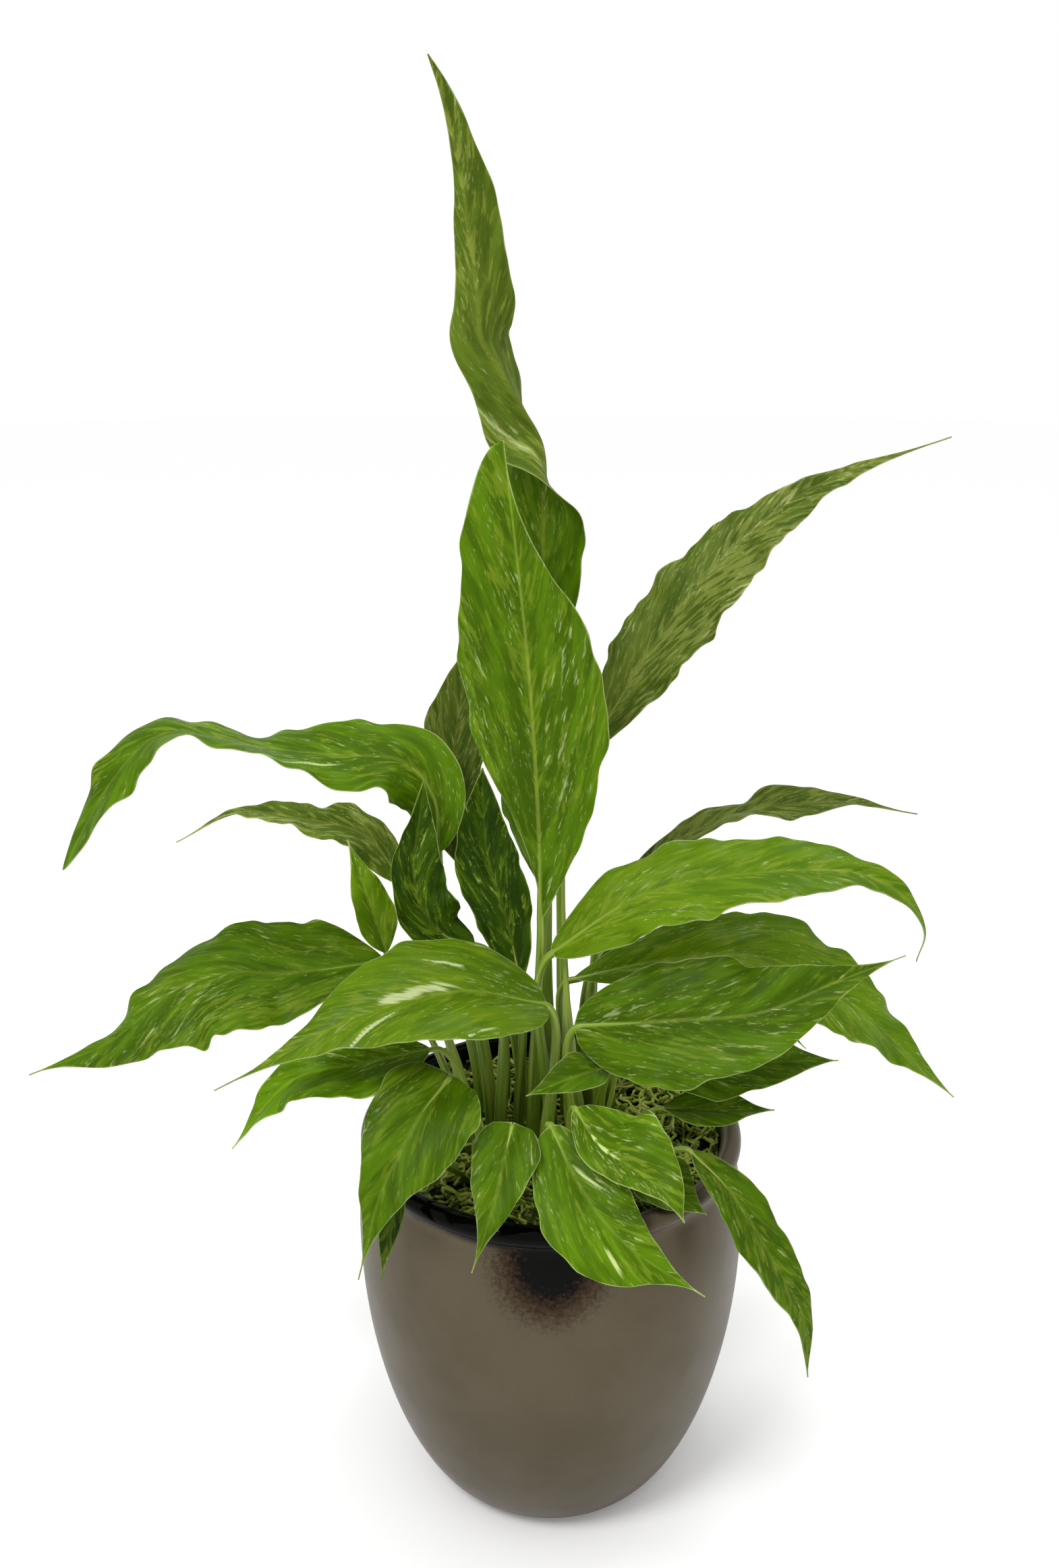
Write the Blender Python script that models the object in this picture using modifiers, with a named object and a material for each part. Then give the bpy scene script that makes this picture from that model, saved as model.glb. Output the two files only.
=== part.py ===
"""A potted variegated peace lily: a round glazed pot of potting mix and moss, with thirty leaves on their stalks.

The origin is the centre of the pot's flat underside and +Z is up. Sizes and places below are in millimetres,
and MM turns them into Blender's metres. A leaf's places are given as (x, y, height above the pot's rim), so
the foliage rides up and down with the pot's height, and what hangs outside the crown moves with its radius.
"""

import math
from dataclasses import dataclass

import bmesh
import bpy
import numpy as np
from mathutils import Vector

MM = 0.001

# Pot
POT_HEIGHT = 145
POT_RADIUS = 71.5
BELLY_DROP = 41
BASE_RADIUS = 41
BASE_EDGE_ROUND = 1.2
NECK_DROP = 12
NECK_SET_IN = 3.0
LIP_THICKNESS = 7.4
LIP_SET_IN = 1.5
WALL = 6
FLOOR_THICKNESS = 6
BELLY_FULLNESS = 0.68
TURNING_STEPS = 40

# Filling
CLEARANCE = 0.4
SOIL_DROP = 20
MOSS_THICKNESS = 9
MOSS_EDGE_ROUND = 3.5

# Leaves
LEAF_THICKNESS = 0.8
LEAF_TIP_WIDTH = 1.2
STALK_RADIUS = 2.1
STALK_STRIP_WIDTH = 2.6
STALK_SIDES_STEP = 2
SPEAR_RADIUS = 2.8
CROWN_RADIUS = 42
HANGING_RADIUS = 71.5
SPINE_STEPS = 13
ACROSS = (-1.0, -0.5, 0.0, 0.5, 1.0)

FRESH_GREEN = (0.105, 0.235, 0.024)
BRIGHT_GREEN = (0.165, 0.330, 0.035)
DARK_GREEN = (0.040, 0.095, 0.018)
GREY_GREEN = (0.085, 0.150, 0.050)
STALK_GREEN = (0.220, 0.330, 0.060)


@dataclass(frozen=True)
class Leaf:
    """One leaf: where its stalk stands, the run of its midrib, its outline and which way its upper face looks."""

    name: str
    foot: tuple
    path: tuple
    half: tuple
    peak: tuple
    face: tuple
    base: tuple = (0.8, 0.8)
    taper: tuple = (1.5, 1.5)
    fold: tuple = (18,)
    colour: tuple = FRESH_GREEN
    stalk: float = 1.0
    one_piece: bool = False


# path runs collar to tip. half, peak, base and taper are each side's widest half-width, its place along the blade
# and the outline's powers at the collar and the tip, left then right of the midrib with the tip up. face is the
# way the upper surface looks and fold how far the sides lift in degrees, both evenly spaced from collar to tip.
LEAVES = (
    Leaf("tall_back", (-3, 15), ((-1, 20, 167), (-3, 22, 198), (-3, 20, 224), (-4, 16, 241), (-11, 12, 254),
         (-18, 9, 266), (-23, 8, 275), (-24, 7, 289), (-26, 4, 305), (-28, 1, 320), (-32, -2, 338),
         (-37, -6, 353)), (15, 16), (0.42, 0.3), ((0, -1, 0.2), (0.1, -1, 0.2), (0, -1, 0.2), (-0.6, -1, 0),
         (-1, 0.1, 0), (-0.6, 1, 0), (-0.1, 1, 0), (0.1, 1, 0), (0.2, 1, 0), (0.2, 1, 0), (0.2, 1, 0)),
         base=(0.6, 0.6), taper=(0.8, 1.8), fold=(20, 22, 50, 24, 18)),
    Leaf("tall_front", (-7, -3), ((-4, -8, 82), (-5, -12, 124), (-8, -14, 172), (-12, -12, 211),
         (-16, -8, 245)), (22, 25.5), (0.55, 0.5), ((0, -1, 0.1), (0, -1, 0.3), (0.1, -1, 0.4)),
         base=(2.2, 1), taper=(0.5, 2.7), fold=(12,)),
    Leaf("right_upswept", (7, 12), ((12, 18, 135), (40, 24, 180), (66, 28, 210), (94, 30, 229),
         (134, 30, 243)), (14, 17), (0.3, 0.36), ((-0.4, -0.8, 0.6), (-0.4, -0.8, 0.6), (-0.3, -0.8, 0.6)),
         taper=(2.3, 2.1), fold=(12,), colour=GREY_GREEN),
    Leaf("rear_upright", (-10, 18), ((-29, 24, 86), (-36, 28, 114), (-34, 31, 141), (-27, 35, 178)), (13, 13),
         (0.5, 0.5), ((-0.3, -1, 0.3), (-0.4, -1, 0.4)), colour=GREY_GREEN),
    Leaf("left_arching", (-22, 6), ((-40, 8, 102), (-41, 8, 122), (-52, 8, 136), (-74, 8, 138), (-97, 6, 141),
         (-113, 4, 145), (-133, 2, 147), (-150, -2, 131), (-168, -6, 101)), (16, 15), (0.3, 0.25),
         ((-0.3, -0.9, 0.3), (-0.2, -0.9, 0.5), (-0.1, -0.7, 0.8), (-0.1, -0.55, 0.9), (0, -0.3, 1),
         (0, 0.1, 1), (-0.1, 0.2, 1), (-0.3, -0.5, 0.8), (-0.6, -0.7, 0.4), (-0.7, -0.7, 0.3),
         (-0.7, -0.6, 0.3)), base=(0.5, 0.6), taper=(0.65, 0.65), fold=(8,)),
    Leaf("left_slender", (-26, 14), ((-54, 24, 83), (-68, 26, 102), (-93, 30, 107), (-116, 33, 108),
         (-139, 34, 96)), (12, 9), (0.3, 0.3), ((-0.2, -0.6, 1), (-0.3, -0.2, 1), (-0.5, 0, 1)),
         taper=(1.8, 1.8), colour=GREY_GREEN, stalk=0.8),
    Leaf("left_young", (-33, 2), ((-59, 4, 65), (-64, 2, 85), (-71, 2, 109)), (8, 8), (0.35, 0.35),
         ((0.6, -1, 0.3), (0.6, -1, 0.3)), colour=BRIGHT_GREEN, stalk=0.7),
    Leaf("left_curled", (-19, -3), ((-27, 1, 70), (-38, 0, 74), (-46, -2, 86), (-48, -1, 101), (-46, 1, 116),
         (-44, 3, 131)), (10, 12), (0.35, 0.35), ((0, -0.7, 0.9), (0.2, -1, 0.5), (0.3, -1, 0.2),
         (0.4, -1, 0.2)), base=(0.6, 0.6), taper=(1.1, 1.1), colour=DARK_GREEN),
    Leaf("centre_upright", (-12, 3), ((-11, 0, 55), (-16, 3, 79), (-23, 6, 105), (-24, 6, 134)), (13, 11),
         (0.55, 0.5), ((0.1, -1, 0.2), (0.2, -1, 0.2)), base=(0.65, 0.7), taper=(1, 1), colour=DARK_GREEN),
    Leaf("right_rear", (16, 13), ((29, 22, 90), (48, 26, 101), (70, 28, 110), (104, 28, 114), (133, 26, 110)),
         (8, 9), (0.5, 0.45), ((-0.3, -0.5, 1), (-0.3, -0.5, 1), (-0.2, -0.5, 1), (0, -0.2, 1), (0.1, 0.2, 1),
         (0, -0.5, 1), (0.1, -0.6, 0.8), (0.1, -0.5, 0.9), (0.2, -0.3, 1), (0.2, -0.2, 1), (0.2, -0.2, 1)),
         taper=(2, 2), colour=GREY_GREEN),
    Leaf("right_upper", (1, -8), ((1, -11, 73), (30, -14, 95), (61, -18, 104), (96, -22, 107),
         (115, -24, 100), (124, -25, 87), (122, -26, 76)), (16, 18), (0.36, 0.3), ((-0.4, -0.7, 0.8),
         (-0.1, -0.6, 1), (0.1, -0.5, 1), (0.5, -0.5, 0.8), (0.9, -0.5, -0.2)), base=(0.6, 0.6),
         taper=(1.6, 1.7), fold=(10,), colour=BRIGHT_GREEN),
    Leaf("right_long", (12, 4), ((8, 8, 53), (44, 6, 62), (78, 4, 63), (106, 1, 48), (125, -2, 32),
         (147, -4, 11)), (19, 18), (0.5, 0.55), ((-0.2, -0.7, 1), (0.2, -0.6, 1), (0.4, -0.5, 0.8)),
         fold=(8,), colour=BRIGHT_GREEN),
    Leaf("right_broad", (9, -17), ((11, -24, 51), (38, -34, 58), (68, -38, 63), (92, -38, 74),
         (116, -34, 82)), (21, 23), (0.36, 0.28), ((-0.2, -0.9, 0.6), (-0.1, -0.8, 0.8), (-0.3, -0.9, 0.5)),
         base=(0.5, 0.5), taper=(1.9, 1.9), fold=(10,)),
    Leaf("right_under", (17, -11), ((26, -22, 37), (60, -28, 39), (97, -32, 42)), (15, 15), (0.4, 0.4),
         ((0, -0.6, 1), (0, -0.8, 0.8))),
    Leaf("right_low", (24, -19), ((38, -34, 25), (56, -34, 24), (76, -34, 24)), (8, 9), (0.4, 0.35),
         ((0, -0.4, 1), (0.3, -0.3, 1)), one_piece=True),
    Leaf("left_broad", (-29, -8), ((-59, -2, 65), (-90, -12, 65), (-110, -20, 69), (-128, -26, 65),
         (-149, -34, 50), (-175, -40, 41)), (25, 22), (0.5, 0.25), ((-0.3, -0.7, 0.9), (-0.3, -0.6, 1),
         (-0.4, -0.5, 1)), taper=(2, 1.7), fold=(14, 10, -4, -8, 0)),
    Leaf("centre_left", (-3, -20), ((-4, -19, 57), (-31, -34, 69), (-64, -42, 64), (-88, -48, 53),
         (-111, -50, 41)), (21, 22), (0.3, 0.36), ((0, -0.6, 1), (-0.1, -0.5, 1), (-0.3, -0.5, 0.9)),
         base=(0.45, 0.42), taper=(2.2, 3), fold=(12,), colour=BRIGHT_GREEN),
    Leaf("left_under", (-26, -17), ((-42, -22, 41), (-64, -30, 40), (-89, -34, 35), (-110, -36, 10)),
         (16, 12), (0.3, 0.35), ((-0.2, -0.7, 1), (-0.3, -0.5, 1), (-0.8, -0.5, 0.6)), stalk=0.8),
    Leaf("front_left", (-22, -31), ((-36, -46, 41), (-44, -58, 35), (-55, -72, 17), (-62, -82, -8)), (19, 17),
         (0.16, 0.14), ((-0.2, -0.9, 0.9), (-0.1, -1, 0.5), (-0.2, -1, 0.2)), base=(0.35, 0.3),
         taper=(2.1, 2.1), fold=(10,)),
    Leaf("front_small", (-11, -37), ((-14, -52, 27), (-16, -62, 23), (-20, -76, 12), (-26, -84, -4)),
         (11, 11), (0.16, 0.2), ((0, -1, 0.8), (0, -1, 0.5), (0, -1, 0.3)), base=(0.35, 0.35), taper=(2, 2),
         fold=(10,), stalk=0.8),
    Leaf("front_right", (-1, -37), ((0, -51, 27), (9, -67, 15), (23, -81, 4), (47, -89, -9)), (12, 18),
         (0.42, 0.46), ((0, -1, 0.9), (0.1, -1, 0.6), (0.2, -1, 0.4)), base=(0.55, 0.55), taper=(2, 2.3),
         fold=(10,)),
    Leaf("front_right_upper", (7, -31), ((8, -48, 32), (15, -62, 28), (26, -73, 26), (35, -82, 23),
         (40, -86, 16)), (18, 8), (0.42, 0.4), ((0, -0.8, 1), (0.3, -0.9, 0.7), (0.5, -0.9, 0.3)),
         base=(0.6, 0.6), taper=(1.3, 1.3), fold=(10,), stalk=0.8),
    Leaf("right_hanging", (27, -29), ((47, -44, 14), (60, -50, 2), (74, -56, -20), (85, -58, -41),
         (88, -60, -65)), (9, 9), (0.35, 0.35), ((0.4, -0.8, 0.8), (0.5, -0.9, 0.4), (0.6, -0.9, 0.1)),
         base=(0.55, 0.55), taper=(1.3, 1.3), fold=(8,), stalk=0.8),
    Leaf("right_rim", (16, -33), ((28, -40, 5), (41, -52, 2), (51, -58, -1)), (12, 10), (0.4, 0.4),
         ((0.2, -0.6, 1), (0.3, -0.6, 1)), one_piece=True),
    Leaf("centre_small", (15, -23), ((19, -29, 38), (7, -38, 39), (-9, -45, 36)), (8, 8), (0.35, 0.35),
         ((0, -0.5, 1), (0, -0.5, 1)), one_piece=True),
    Leaf("front_left_sliver", (-30, -24), ((-49, -52, 11), (-54, -60, -5), (-57, -64, -22)), (4, 4),
         (0.4, 0.4), ((-0.4, -1, 0.3), (-0.4, -1, 0.3)), colour=DARK_GREEN, one_piece=True),
    Leaf("back_right", (12, 25), ((17, 28, 50), (36, 62, 58), (58, 94, 45), (80, 120, 15)), (17, 17),
         (0.38, 0.38), ((0, 0.2, 1), (0.2, 0.4, 1), (0.3, 0.6, 0.7))),
    Leaf("back_middle", (0, 26), ((-2, 34, 77), (-4, 76, 98), (-4, 120, 79), (-2, 150, 42)), (17, 18),
         (0.4, 0.38), ((0, -0.3, 1), (0, 0.3, 1), (0, 0.8, 0.6))),
    Leaf("back_left", (-18, 26), ((-20, 28, 33), (-44, 58, 31), (-68, 86, 15), (-92, 108, -10)), (15, 15),
         (0.36, 0.38), ((-0.1, 0.2, 1), (-0.3, 0.4, 1), (-0.4, 0.6, 0.7)), stalk=0.8),
    Leaf("back_right_low", (24, 20), ((25, 24, 27), (52, 48, 31), (84, 70, 13), (112, 88, -20)), (15, 15),
         (0.36, 0.38), ((0, 0.2, 1), (0.3, 0.4, 1), (0.5, 0.6, 0.7)), stalk=0.8),
)
SPEAR_FOOT = (8, -9)
SPEAR_TIP = (4, -7, 72)


def clear_scene():
    for obj in list(bpy.data.objects):
        bpy.data.objects.remove(obj, do_unlink=True)


def new_collection(name):
    collection = bpy.data.collections.new(name)
    bpy.context.scene.collection.children.link(collection)
    return collection


def new_material(name, colour, roughness, metallic=0.0):
    material = bpy.data.materials.new(name)
    material.use_nodes = True
    shader = material.node_tree.nodes["Principled BSDF"]
    shader.inputs["Base Color"].default_value = (*colour, 1.0)
    shader.inputs["Roughness"].default_value = roughness
    shader.inputs["Metallic"].default_value = metallic
    material.diffuse_color = (*colour, 1.0)
    return material


def add_object(collection, name, data, material):
    obj = bpy.data.objects.new(name, data)
    data.materials.append(material)
    collection.objects.link(obj)
    return obj


# Pot profile, as radii by height


def neck_height():
    return POT_HEIGHT - NECK_DROP


def lip_radius():
    return LIP_THICKNESS / 2


def lip_centre():
    """Radius and height of the middle of the lip's round section."""
    return POT_RADIUS - LIP_SET_IN - lip_radius(), POT_HEIGHT - lip_radius()


def outer_radius(height):
    """The body's outer radius: a full curve from the base up to the belly, then drawn in to the neck."""
    belly = POT_HEIGHT - BELLY_DROP
    if height <= belly:
        rise = 1 - (1 - height / belly) ** 2
        return BASE_RADIUS + (POT_RADIUS - BASE_RADIUS) * rise**BELLY_FULLNESS
    share = min(1.0, (height - belly) / (neck_height() - belly))
    return POT_RADIUS - NECK_SET_IN * share**2


def inner_radius(height):
    return outer_radius(height) - WALL


def pot_profile():
    """The pot's section from the middle of its underside, out, up, over the lip and down the inside."""
    belly = POT_HEIGHT - BELLY_DROP
    centre_r, centre_z = lip_centre()
    points = [(0, 0), (BASE_RADIUS - BASE_EDGE_ROUND, 0)]
    lower = [belly * share for share in (0.012, 0.04, 0.09, 0.16, 0.25, 0.37, 0.52, 0.7, 0.86, 1.0)]
    upper = [belly + (neck_height() - belly) * share for share in (0.35, 0.7, 1.0)]
    points += [(outer_radius(z), z) for z in lower + upper]
    for degrees in range(-60, 181, 30):
        angle = math.radians(degrees)
        points.append((centre_r + lip_radius() * math.cos(angle), centre_z + lip_radius() * math.sin(angle)))
    inside = [neck_height()] + [z for z in reversed(lower) if z > FLOOR_THICKNESS]
    points += [(inner_radius(z), z) for z in inside]
    points += [(inner_radius(FLOOR_THICKNESS) - WALL / 2, FLOOR_THICKNESS), (0, FLOOR_THICKNESS)]
    return points


def turned(collection, name, points, material):
    """Turns a section once round Z. It is given from the axis at the bottom, out and up, back to the axis."""
    mesh = bpy.data.meshes.new(name)
    vertices = [(r * MM, 0, z * MM) for r, z in reversed(points)]
    mesh.from_pydata(vertices, [(i, i + 1) for i in range(len(vertices) - 1)], [])
    return turn(add_object(collection, name, mesh, material))


def turn(obj):
    screw = obj.modifiers.new("Turn", "SCREW")
    screw.axis = "Z"
    screw.steps = TURNING_STEPS
    screw.render_steps = TURNING_STEPS
    screw.use_merge_vertices = True
    screw.merge_threshold = 0.00005
    screw.use_smooth_shade = True
    return obj


def soil_top():
    return POT_HEIGHT - SOIL_DROP


def moss_top():
    return soil_top() + CLEARANCE + MOSS_THICKNESS


def build_pot(collection):
    glaze = new_material("Bronze grey glaze", (0.165, 0.140, 0.112), 0.34, 0.35)
    turned(collection, "pot", pot_profile(), glaze)


def build_soil(collection):
    """The potting mix fills the pot up to its drop below the rim, a clearance off the glaze all round."""
    mix = new_material("Potting mix", (0.022, 0.016, 0.011), 0.95)
    bottom = FLOOR_THICKNESS + CLEARANCE
    heights = [bottom + (soil_top() - bottom) * share for share in (0.0, 0.08, 0.2, 0.4, 0.65, 1.0)]
    side = [(inner_radius(z) - 2 * CLEARANCE, z) for z in heights[1:]]
    floor_edge = inner_radius(bottom) - WALL / 2 - CLEARANCE
    turned(collection, "soil", [(0, bottom), (floor_edge, bottom)] + side + [(0, soil_top())], mix)


def build_moss(collection):
    """A round-edged mat of moss covers the mix, and the stalks come up from it."""
    moss = new_material("Moss", (0.140, 0.150, 0.035), 0.9)
    bottom, top = soil_top() + CLEARANCE, moss_top()
    outside = inner_radius(top) - 2 * CLEARANCE
    points = [(0, bottom), (inner_radius(bottom) - 2 * CLEARANCE, bottom)]
    for degrees in (0, 30, 60, 90):
        angle = math.radians(degrees)
        points.append((outside - MOSS_EDGE_ROUND * (1 - math.cos(angle)),
                       top - MOSS_EDGE_ROUND * (1 - math.sin(angle))))
    turned(collection, "moss", points + [(0, top)], moss)


# Leaves


def placed(point):
    """A leaf's point in the object's frame: over the crown it stays, and beyond it moves out with the pot."""
    x, y, above_rim = point
    radius = math.hypot(x, y)
    share = min(1.0, max(0.0, (radius - CROWN_RADIUS) / (HANGING_RADIUS - CROWN_RADIUS)))
    scale = 1 + share * (POT_RADIUS - HANGING_RADIUS) / max(radius, 1.0)
    return np.array((x * scale, y * scale, POT_HEIGHT + above_rim))


def smooth_run(points, steps):
    """Evenly spaced points along a smooth curve that passes through the given ones."""
    run = np.vstack([2 * points[0] - points[1], points, 2 * points[-1] - points[-2]])
    fine = []
    for a, b, c, d in zip(run, run[1:], run[2:], run[3:]):
        for u in np.linspace(0, 1, 16, endpoint=False):
            fine.append(
                (2 * b + (c - a) * u + (2 * a - 5 * b + 4 * c - d) * u**2 + (3 * b - a - 3 * c + d) * u**3) / 2
            )
    fine = np.array(fine + [run[-2]])
    travel = np.append(0, np.cumsum(np.linalg.norm(np.diff(fine, axis=0), axis=1)))
    even = np.linspace(0, travel[-1], steps + 1)
    return np.stack([np.interp(even, travel, fine[:, axis]) for axis in range(3)], axis=1)


def unit(vectors):
    return vectors / np.linalg.norm(vectors, axis=-1, keepdims=True)


def outline(share, leaf, side):
    """One side's half-width at a share of the blade: rounded up to its peak, then drawn out to the tip."""
    peak = leaf.peak[side]
    if share < peak:
        shape = math.sin(math.pi / 2 * share / peak) ** leaf.base[side]
    else:
        shape = max(0.0, math.cos(math.pi / 2 * (share - peak) / (1 - peak))) ** leaf.taper[side]
    return max(leaf.half[side] * shape, LEAF_TIP_WIDTH / 2)


def stalk_run(leaf, reach):
    """The stalk's line as a Bezier's four points, upright at its foot and in line with the midrib at its top."""
    lift = STALK_STRIP_WIDTH / 2 if leaf.one_piece else 0
    foot = np.array((*leaf.foot, moss_top() + CLEARANCE + lift))
    collar, towards = placed(leaf.path[0]), placed(leaf.path[1])
    along = unit(towards - collar)
    height = collar[2] - foot[2]
    top = collar - along * reach
    return foot, foot + np.array((0, 0, 0.45 * height)), top - along * 0.2 * height, top


def bezier(points, shares):
    a, b, c, d = points
    return [a * (1 - u) ** 3 + 3 * b * u * (1 - u) ** 2 + 3 * c * u**2 * (1 - u) + d * u**3 for u in shares]


def blade_sections(leaf):
    """Rows of points across the blade, one row a station from the collar (or the foot) to the tip."""
    spine = smooth_run(np.array([placed(point) for point in leaf.path]), SPINE_STEPS)
    shares = np.linspace(0, 1, SPINE_STEPS + 1)
    halves = [[outline(share, leaf, side) for share in shares] for side in (0, 1)]
    looks = unit(np.array(leaf.face, float))
    given = np.linspace(0, 1, len(looks))
    facing = np.stack([np.interp(shares, given, looks[:, axis]) for axis in range(3)], axis=1)
    lift = np.radians(np.interp(shares, np.linspace(0, 1, len(leaf.fold)), leaf.fold))
    if leaf.one_piece:
        stem = bezier(stalk_run(leaf, 0), (0, 0.2, 0.4, 0.6, 0.8))
        spine = np.vstack([stem, spine])
        facing = np.vstack([np.tile(facing[0], (len(stem), 1)), facing])
        lift = np.append(np.full(len(stem), lift[0]), lift)
        halves = [[STALK_STRIP_WIDTH / 2] * len(stem) + side for side in halves]
    along = unit(np.gradient(spine, axis=0))
    upper = unit(facing - (facing * along).sum(axis=1, keepdims=True) * along)
    sideways = np.cross(along, upper)
    rows = []
    for across in ACROSS:
        half = np.array(halves[0] if across < 0 else halves[1])[:, None] * abs(across)
        out = np.copysign(np.cos(lift), across)[:, None]
        rows.append(spine + sideways * half * out + upper * half * np.sin(lift)[:, None])
    return np.stack(rows, axis=1)


def build_blade(collection, leaf):
    """A blade is an open sheet lofted through its cross rows, thickened by Solidify."""
    rows = blade_sections(leaf)
    sheet = bmesh.new()
    grid = [[sheet.verts.new(Vector(point) * MM) for point in row] for row in rows]
    for near, far in zip(grid, grid[1:]):
        for i in range(len(ACROSS) - 1):
            sheet.faces.new((near[i], near[i + 1], far[i + 1], far[i]))
    name = "blade_" + leaf.name
    mesh = bpy.data.meshes.new(name)
    sheet.to_mesh(mesh)
    sheet.free()
    mesh.shade_smooth()
    obj = add_object(collection, name, mesh, new_material(name + " green", leaf.colour, 0.42))
    thicken = obj.modifiers.new("Thickness", "SOLIDIFY")
    thicken.thickness = LEAF_THICKNESS * MM
    thicken.offset = 0
    return obj


def add_rod(collection, name, handles, radius, radii, material):
    """A round rod along one Bezier span, with its own radius factor at the foot and the top."""
    curve = bpy.data.curves.new(name, "CURVE")
    curve.dimensions = "3D"
    curve.bevel_depth = radius * MM
    curve.bevel_resolution = STALK_SIDES_STEP
    curve.use_fill_caps = True
    curve.resolution_u = 6
    spline = curve.splines.new("BEZIER")
    spline.bezier_points.add(1)
    foot, foot_handle, top_handle, top = [Vector(point) * MM for point in handles]
    ends = ((foot, foot - (foot_handle - foot) * 0.2, foot_handle), (top, top_handle, top + (top - top_handle) * 0.2))
    for point, (place, left, right), factor in zip(spline.bezier_points, ends, radii):
        point.handle_left_type = point.handle_right_type = "FREE"
        point.co, point.handle_left, point.handle_right = place, left, right
        point.radius = factor
    return add_object(collection, name, curve, material)


def build_stalk(collection, leaf):
    name = "stalk_" + leaf.name
    material = new_material(name + " green", STALK_GREEN, 0.45)
    top_gap = LEAF_THICKNESS / 2 + CLEARANCE
    add_rod(collection, name, stalk_run(leaf, top_gap), STALK_RADIUS * leaf.stalk, (1.0, 0.62), material)


def build_spear(collection):
    """The newest leaf is still rolled into a spear among the stalks."""
    foot = np.array((*SPEAR_FOOT, moss_top() + CLEARANCE))
    top = placed(SPEAR_TIP)
    rise = np.array((0, 0, (top[2] - foot[2]) / 3))
    material = new_material("Rolled leaf green", STALK_GREEN, 0.42)
    add_rod(collection, "new_leaf_spear", (foot, foot + rise, top - rise, top), SPEAR_RADIUS, (0.8, 0.3), material)


def main():
    clear_scene()
    collection = new_collection("potted peace lily")
    build_pot(collection)
    build_soil(collection)
    build_moss(collection)
    build_spear(collection)
    for leaf in LEAVES:
        build_blade(collection, leaf)
        if not leaf.one_piece:
            build_stalk(collection, leaf)


main()
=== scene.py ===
"""The looks of a potted variegated peace lily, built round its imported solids.

The plant's leaves, stalks and moss stand in for their plain solids, and the pot is turned again more finely.
Sizes are in millimetres and MM turns them into Blender's metres. +Z is up and -Y is the plant's front. A leaf's
places are given as (x, y, height above the pot's rim), and the rim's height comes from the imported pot.
"""

import logging
import math
from collections.abc import Callable
from dataclasses import dataclass, field
from enum import Enum

import bpy
import numpy as np
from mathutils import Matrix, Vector, noise

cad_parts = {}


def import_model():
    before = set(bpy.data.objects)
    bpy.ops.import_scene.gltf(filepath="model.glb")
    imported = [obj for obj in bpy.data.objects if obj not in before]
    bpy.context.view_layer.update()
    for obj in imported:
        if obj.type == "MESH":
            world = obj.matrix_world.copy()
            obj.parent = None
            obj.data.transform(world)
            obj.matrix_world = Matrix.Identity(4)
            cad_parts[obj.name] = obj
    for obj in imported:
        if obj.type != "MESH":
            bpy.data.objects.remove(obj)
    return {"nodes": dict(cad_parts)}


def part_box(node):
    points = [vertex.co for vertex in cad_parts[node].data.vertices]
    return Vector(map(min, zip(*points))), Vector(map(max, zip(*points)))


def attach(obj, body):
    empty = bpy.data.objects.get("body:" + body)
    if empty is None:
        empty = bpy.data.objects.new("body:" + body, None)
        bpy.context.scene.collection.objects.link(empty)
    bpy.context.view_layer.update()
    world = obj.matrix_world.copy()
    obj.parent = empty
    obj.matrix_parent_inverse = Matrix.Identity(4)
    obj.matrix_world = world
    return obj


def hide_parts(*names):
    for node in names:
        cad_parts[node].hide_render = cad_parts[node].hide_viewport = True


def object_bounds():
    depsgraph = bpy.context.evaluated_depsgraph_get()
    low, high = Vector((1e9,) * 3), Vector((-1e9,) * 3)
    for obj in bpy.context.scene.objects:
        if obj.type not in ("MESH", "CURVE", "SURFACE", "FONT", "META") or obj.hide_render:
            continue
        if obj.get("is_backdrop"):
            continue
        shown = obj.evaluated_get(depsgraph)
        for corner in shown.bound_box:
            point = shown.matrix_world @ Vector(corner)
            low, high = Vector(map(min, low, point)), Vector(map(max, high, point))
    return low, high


LOG = logging.getLogger("peace_lily")
MM = 0.001
VEIN_GAP = 4.5  # between a leaf's side veins, in mm, square across them

Place = tuple[float, float, float]
Colour = tuple[float, float, float, float]


def linear_colour(code: str) -> Colour:
    """Turns an sRGB hex colour into the linear values that shaders use.

    Args:
        code: The colour as "#rrggbb".

    Returns:
        Linear red, green, blue and an alpha of one.
    """
    values = [int(code[i : i + 2], 16) / 255 for i in (1, 3, 5)]
    red, green, blue = [v / 12.92 if v <= 0.04045 else ((v + 0.055) / 1.055) ** 2.4 for v in values]
    return red, green, blue, 1.0


def add_node(
    tree: bpy.types.NodeTree,
    kind: str,
    settings: dict[str, object] | None = None,
    links: dict[int | str, object] | None = None,
) -> bpy.types.Node:
    """Adds a node to a tree with its settings, values and links.

    Args:
        tree: The material's or the geometry's node tree.
        kind: Blender's name for the kind of node.
        settings: Property values of the node.
        links: For each input, by name or number, the socket that feeds it or its plain value.

    Returns:
        The new node.
    """
    node = tree.nodes.new(kind)
    for name, value in (settings or {}).items():
        setattr(node, name, value)
    for socket, source in (links or {}).items():
        if isinstance(source, bpy.types.NodeSocket):
            tree.links.new(source, node.inputs[socket])
        else:
            node.inputs[socket].default_value = source
    return node


def new_material(name: str) -> tuple[bpy.types.Material, bpy.types.NodeTree, bpy.types.Node]:
    """Makes an empty material.

    Args:
        name: The material's name.

    Returns:
        The material, its node tree and its Principled shader.
    """
    material = bpy.data.materials.new(name)
    material.use_nodes = True
    tree = material.node_tree
    return material, tree, tree.nodes["Principled BSDF"]


def unit(vectors: np.ndarray) -> np.ndarray:
    """Scales vectors to a length of one."""
    return vectors / np.maximum(np.linalg.norm(vectors, axis=-1, keepdims=True), 1e-9)


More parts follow.
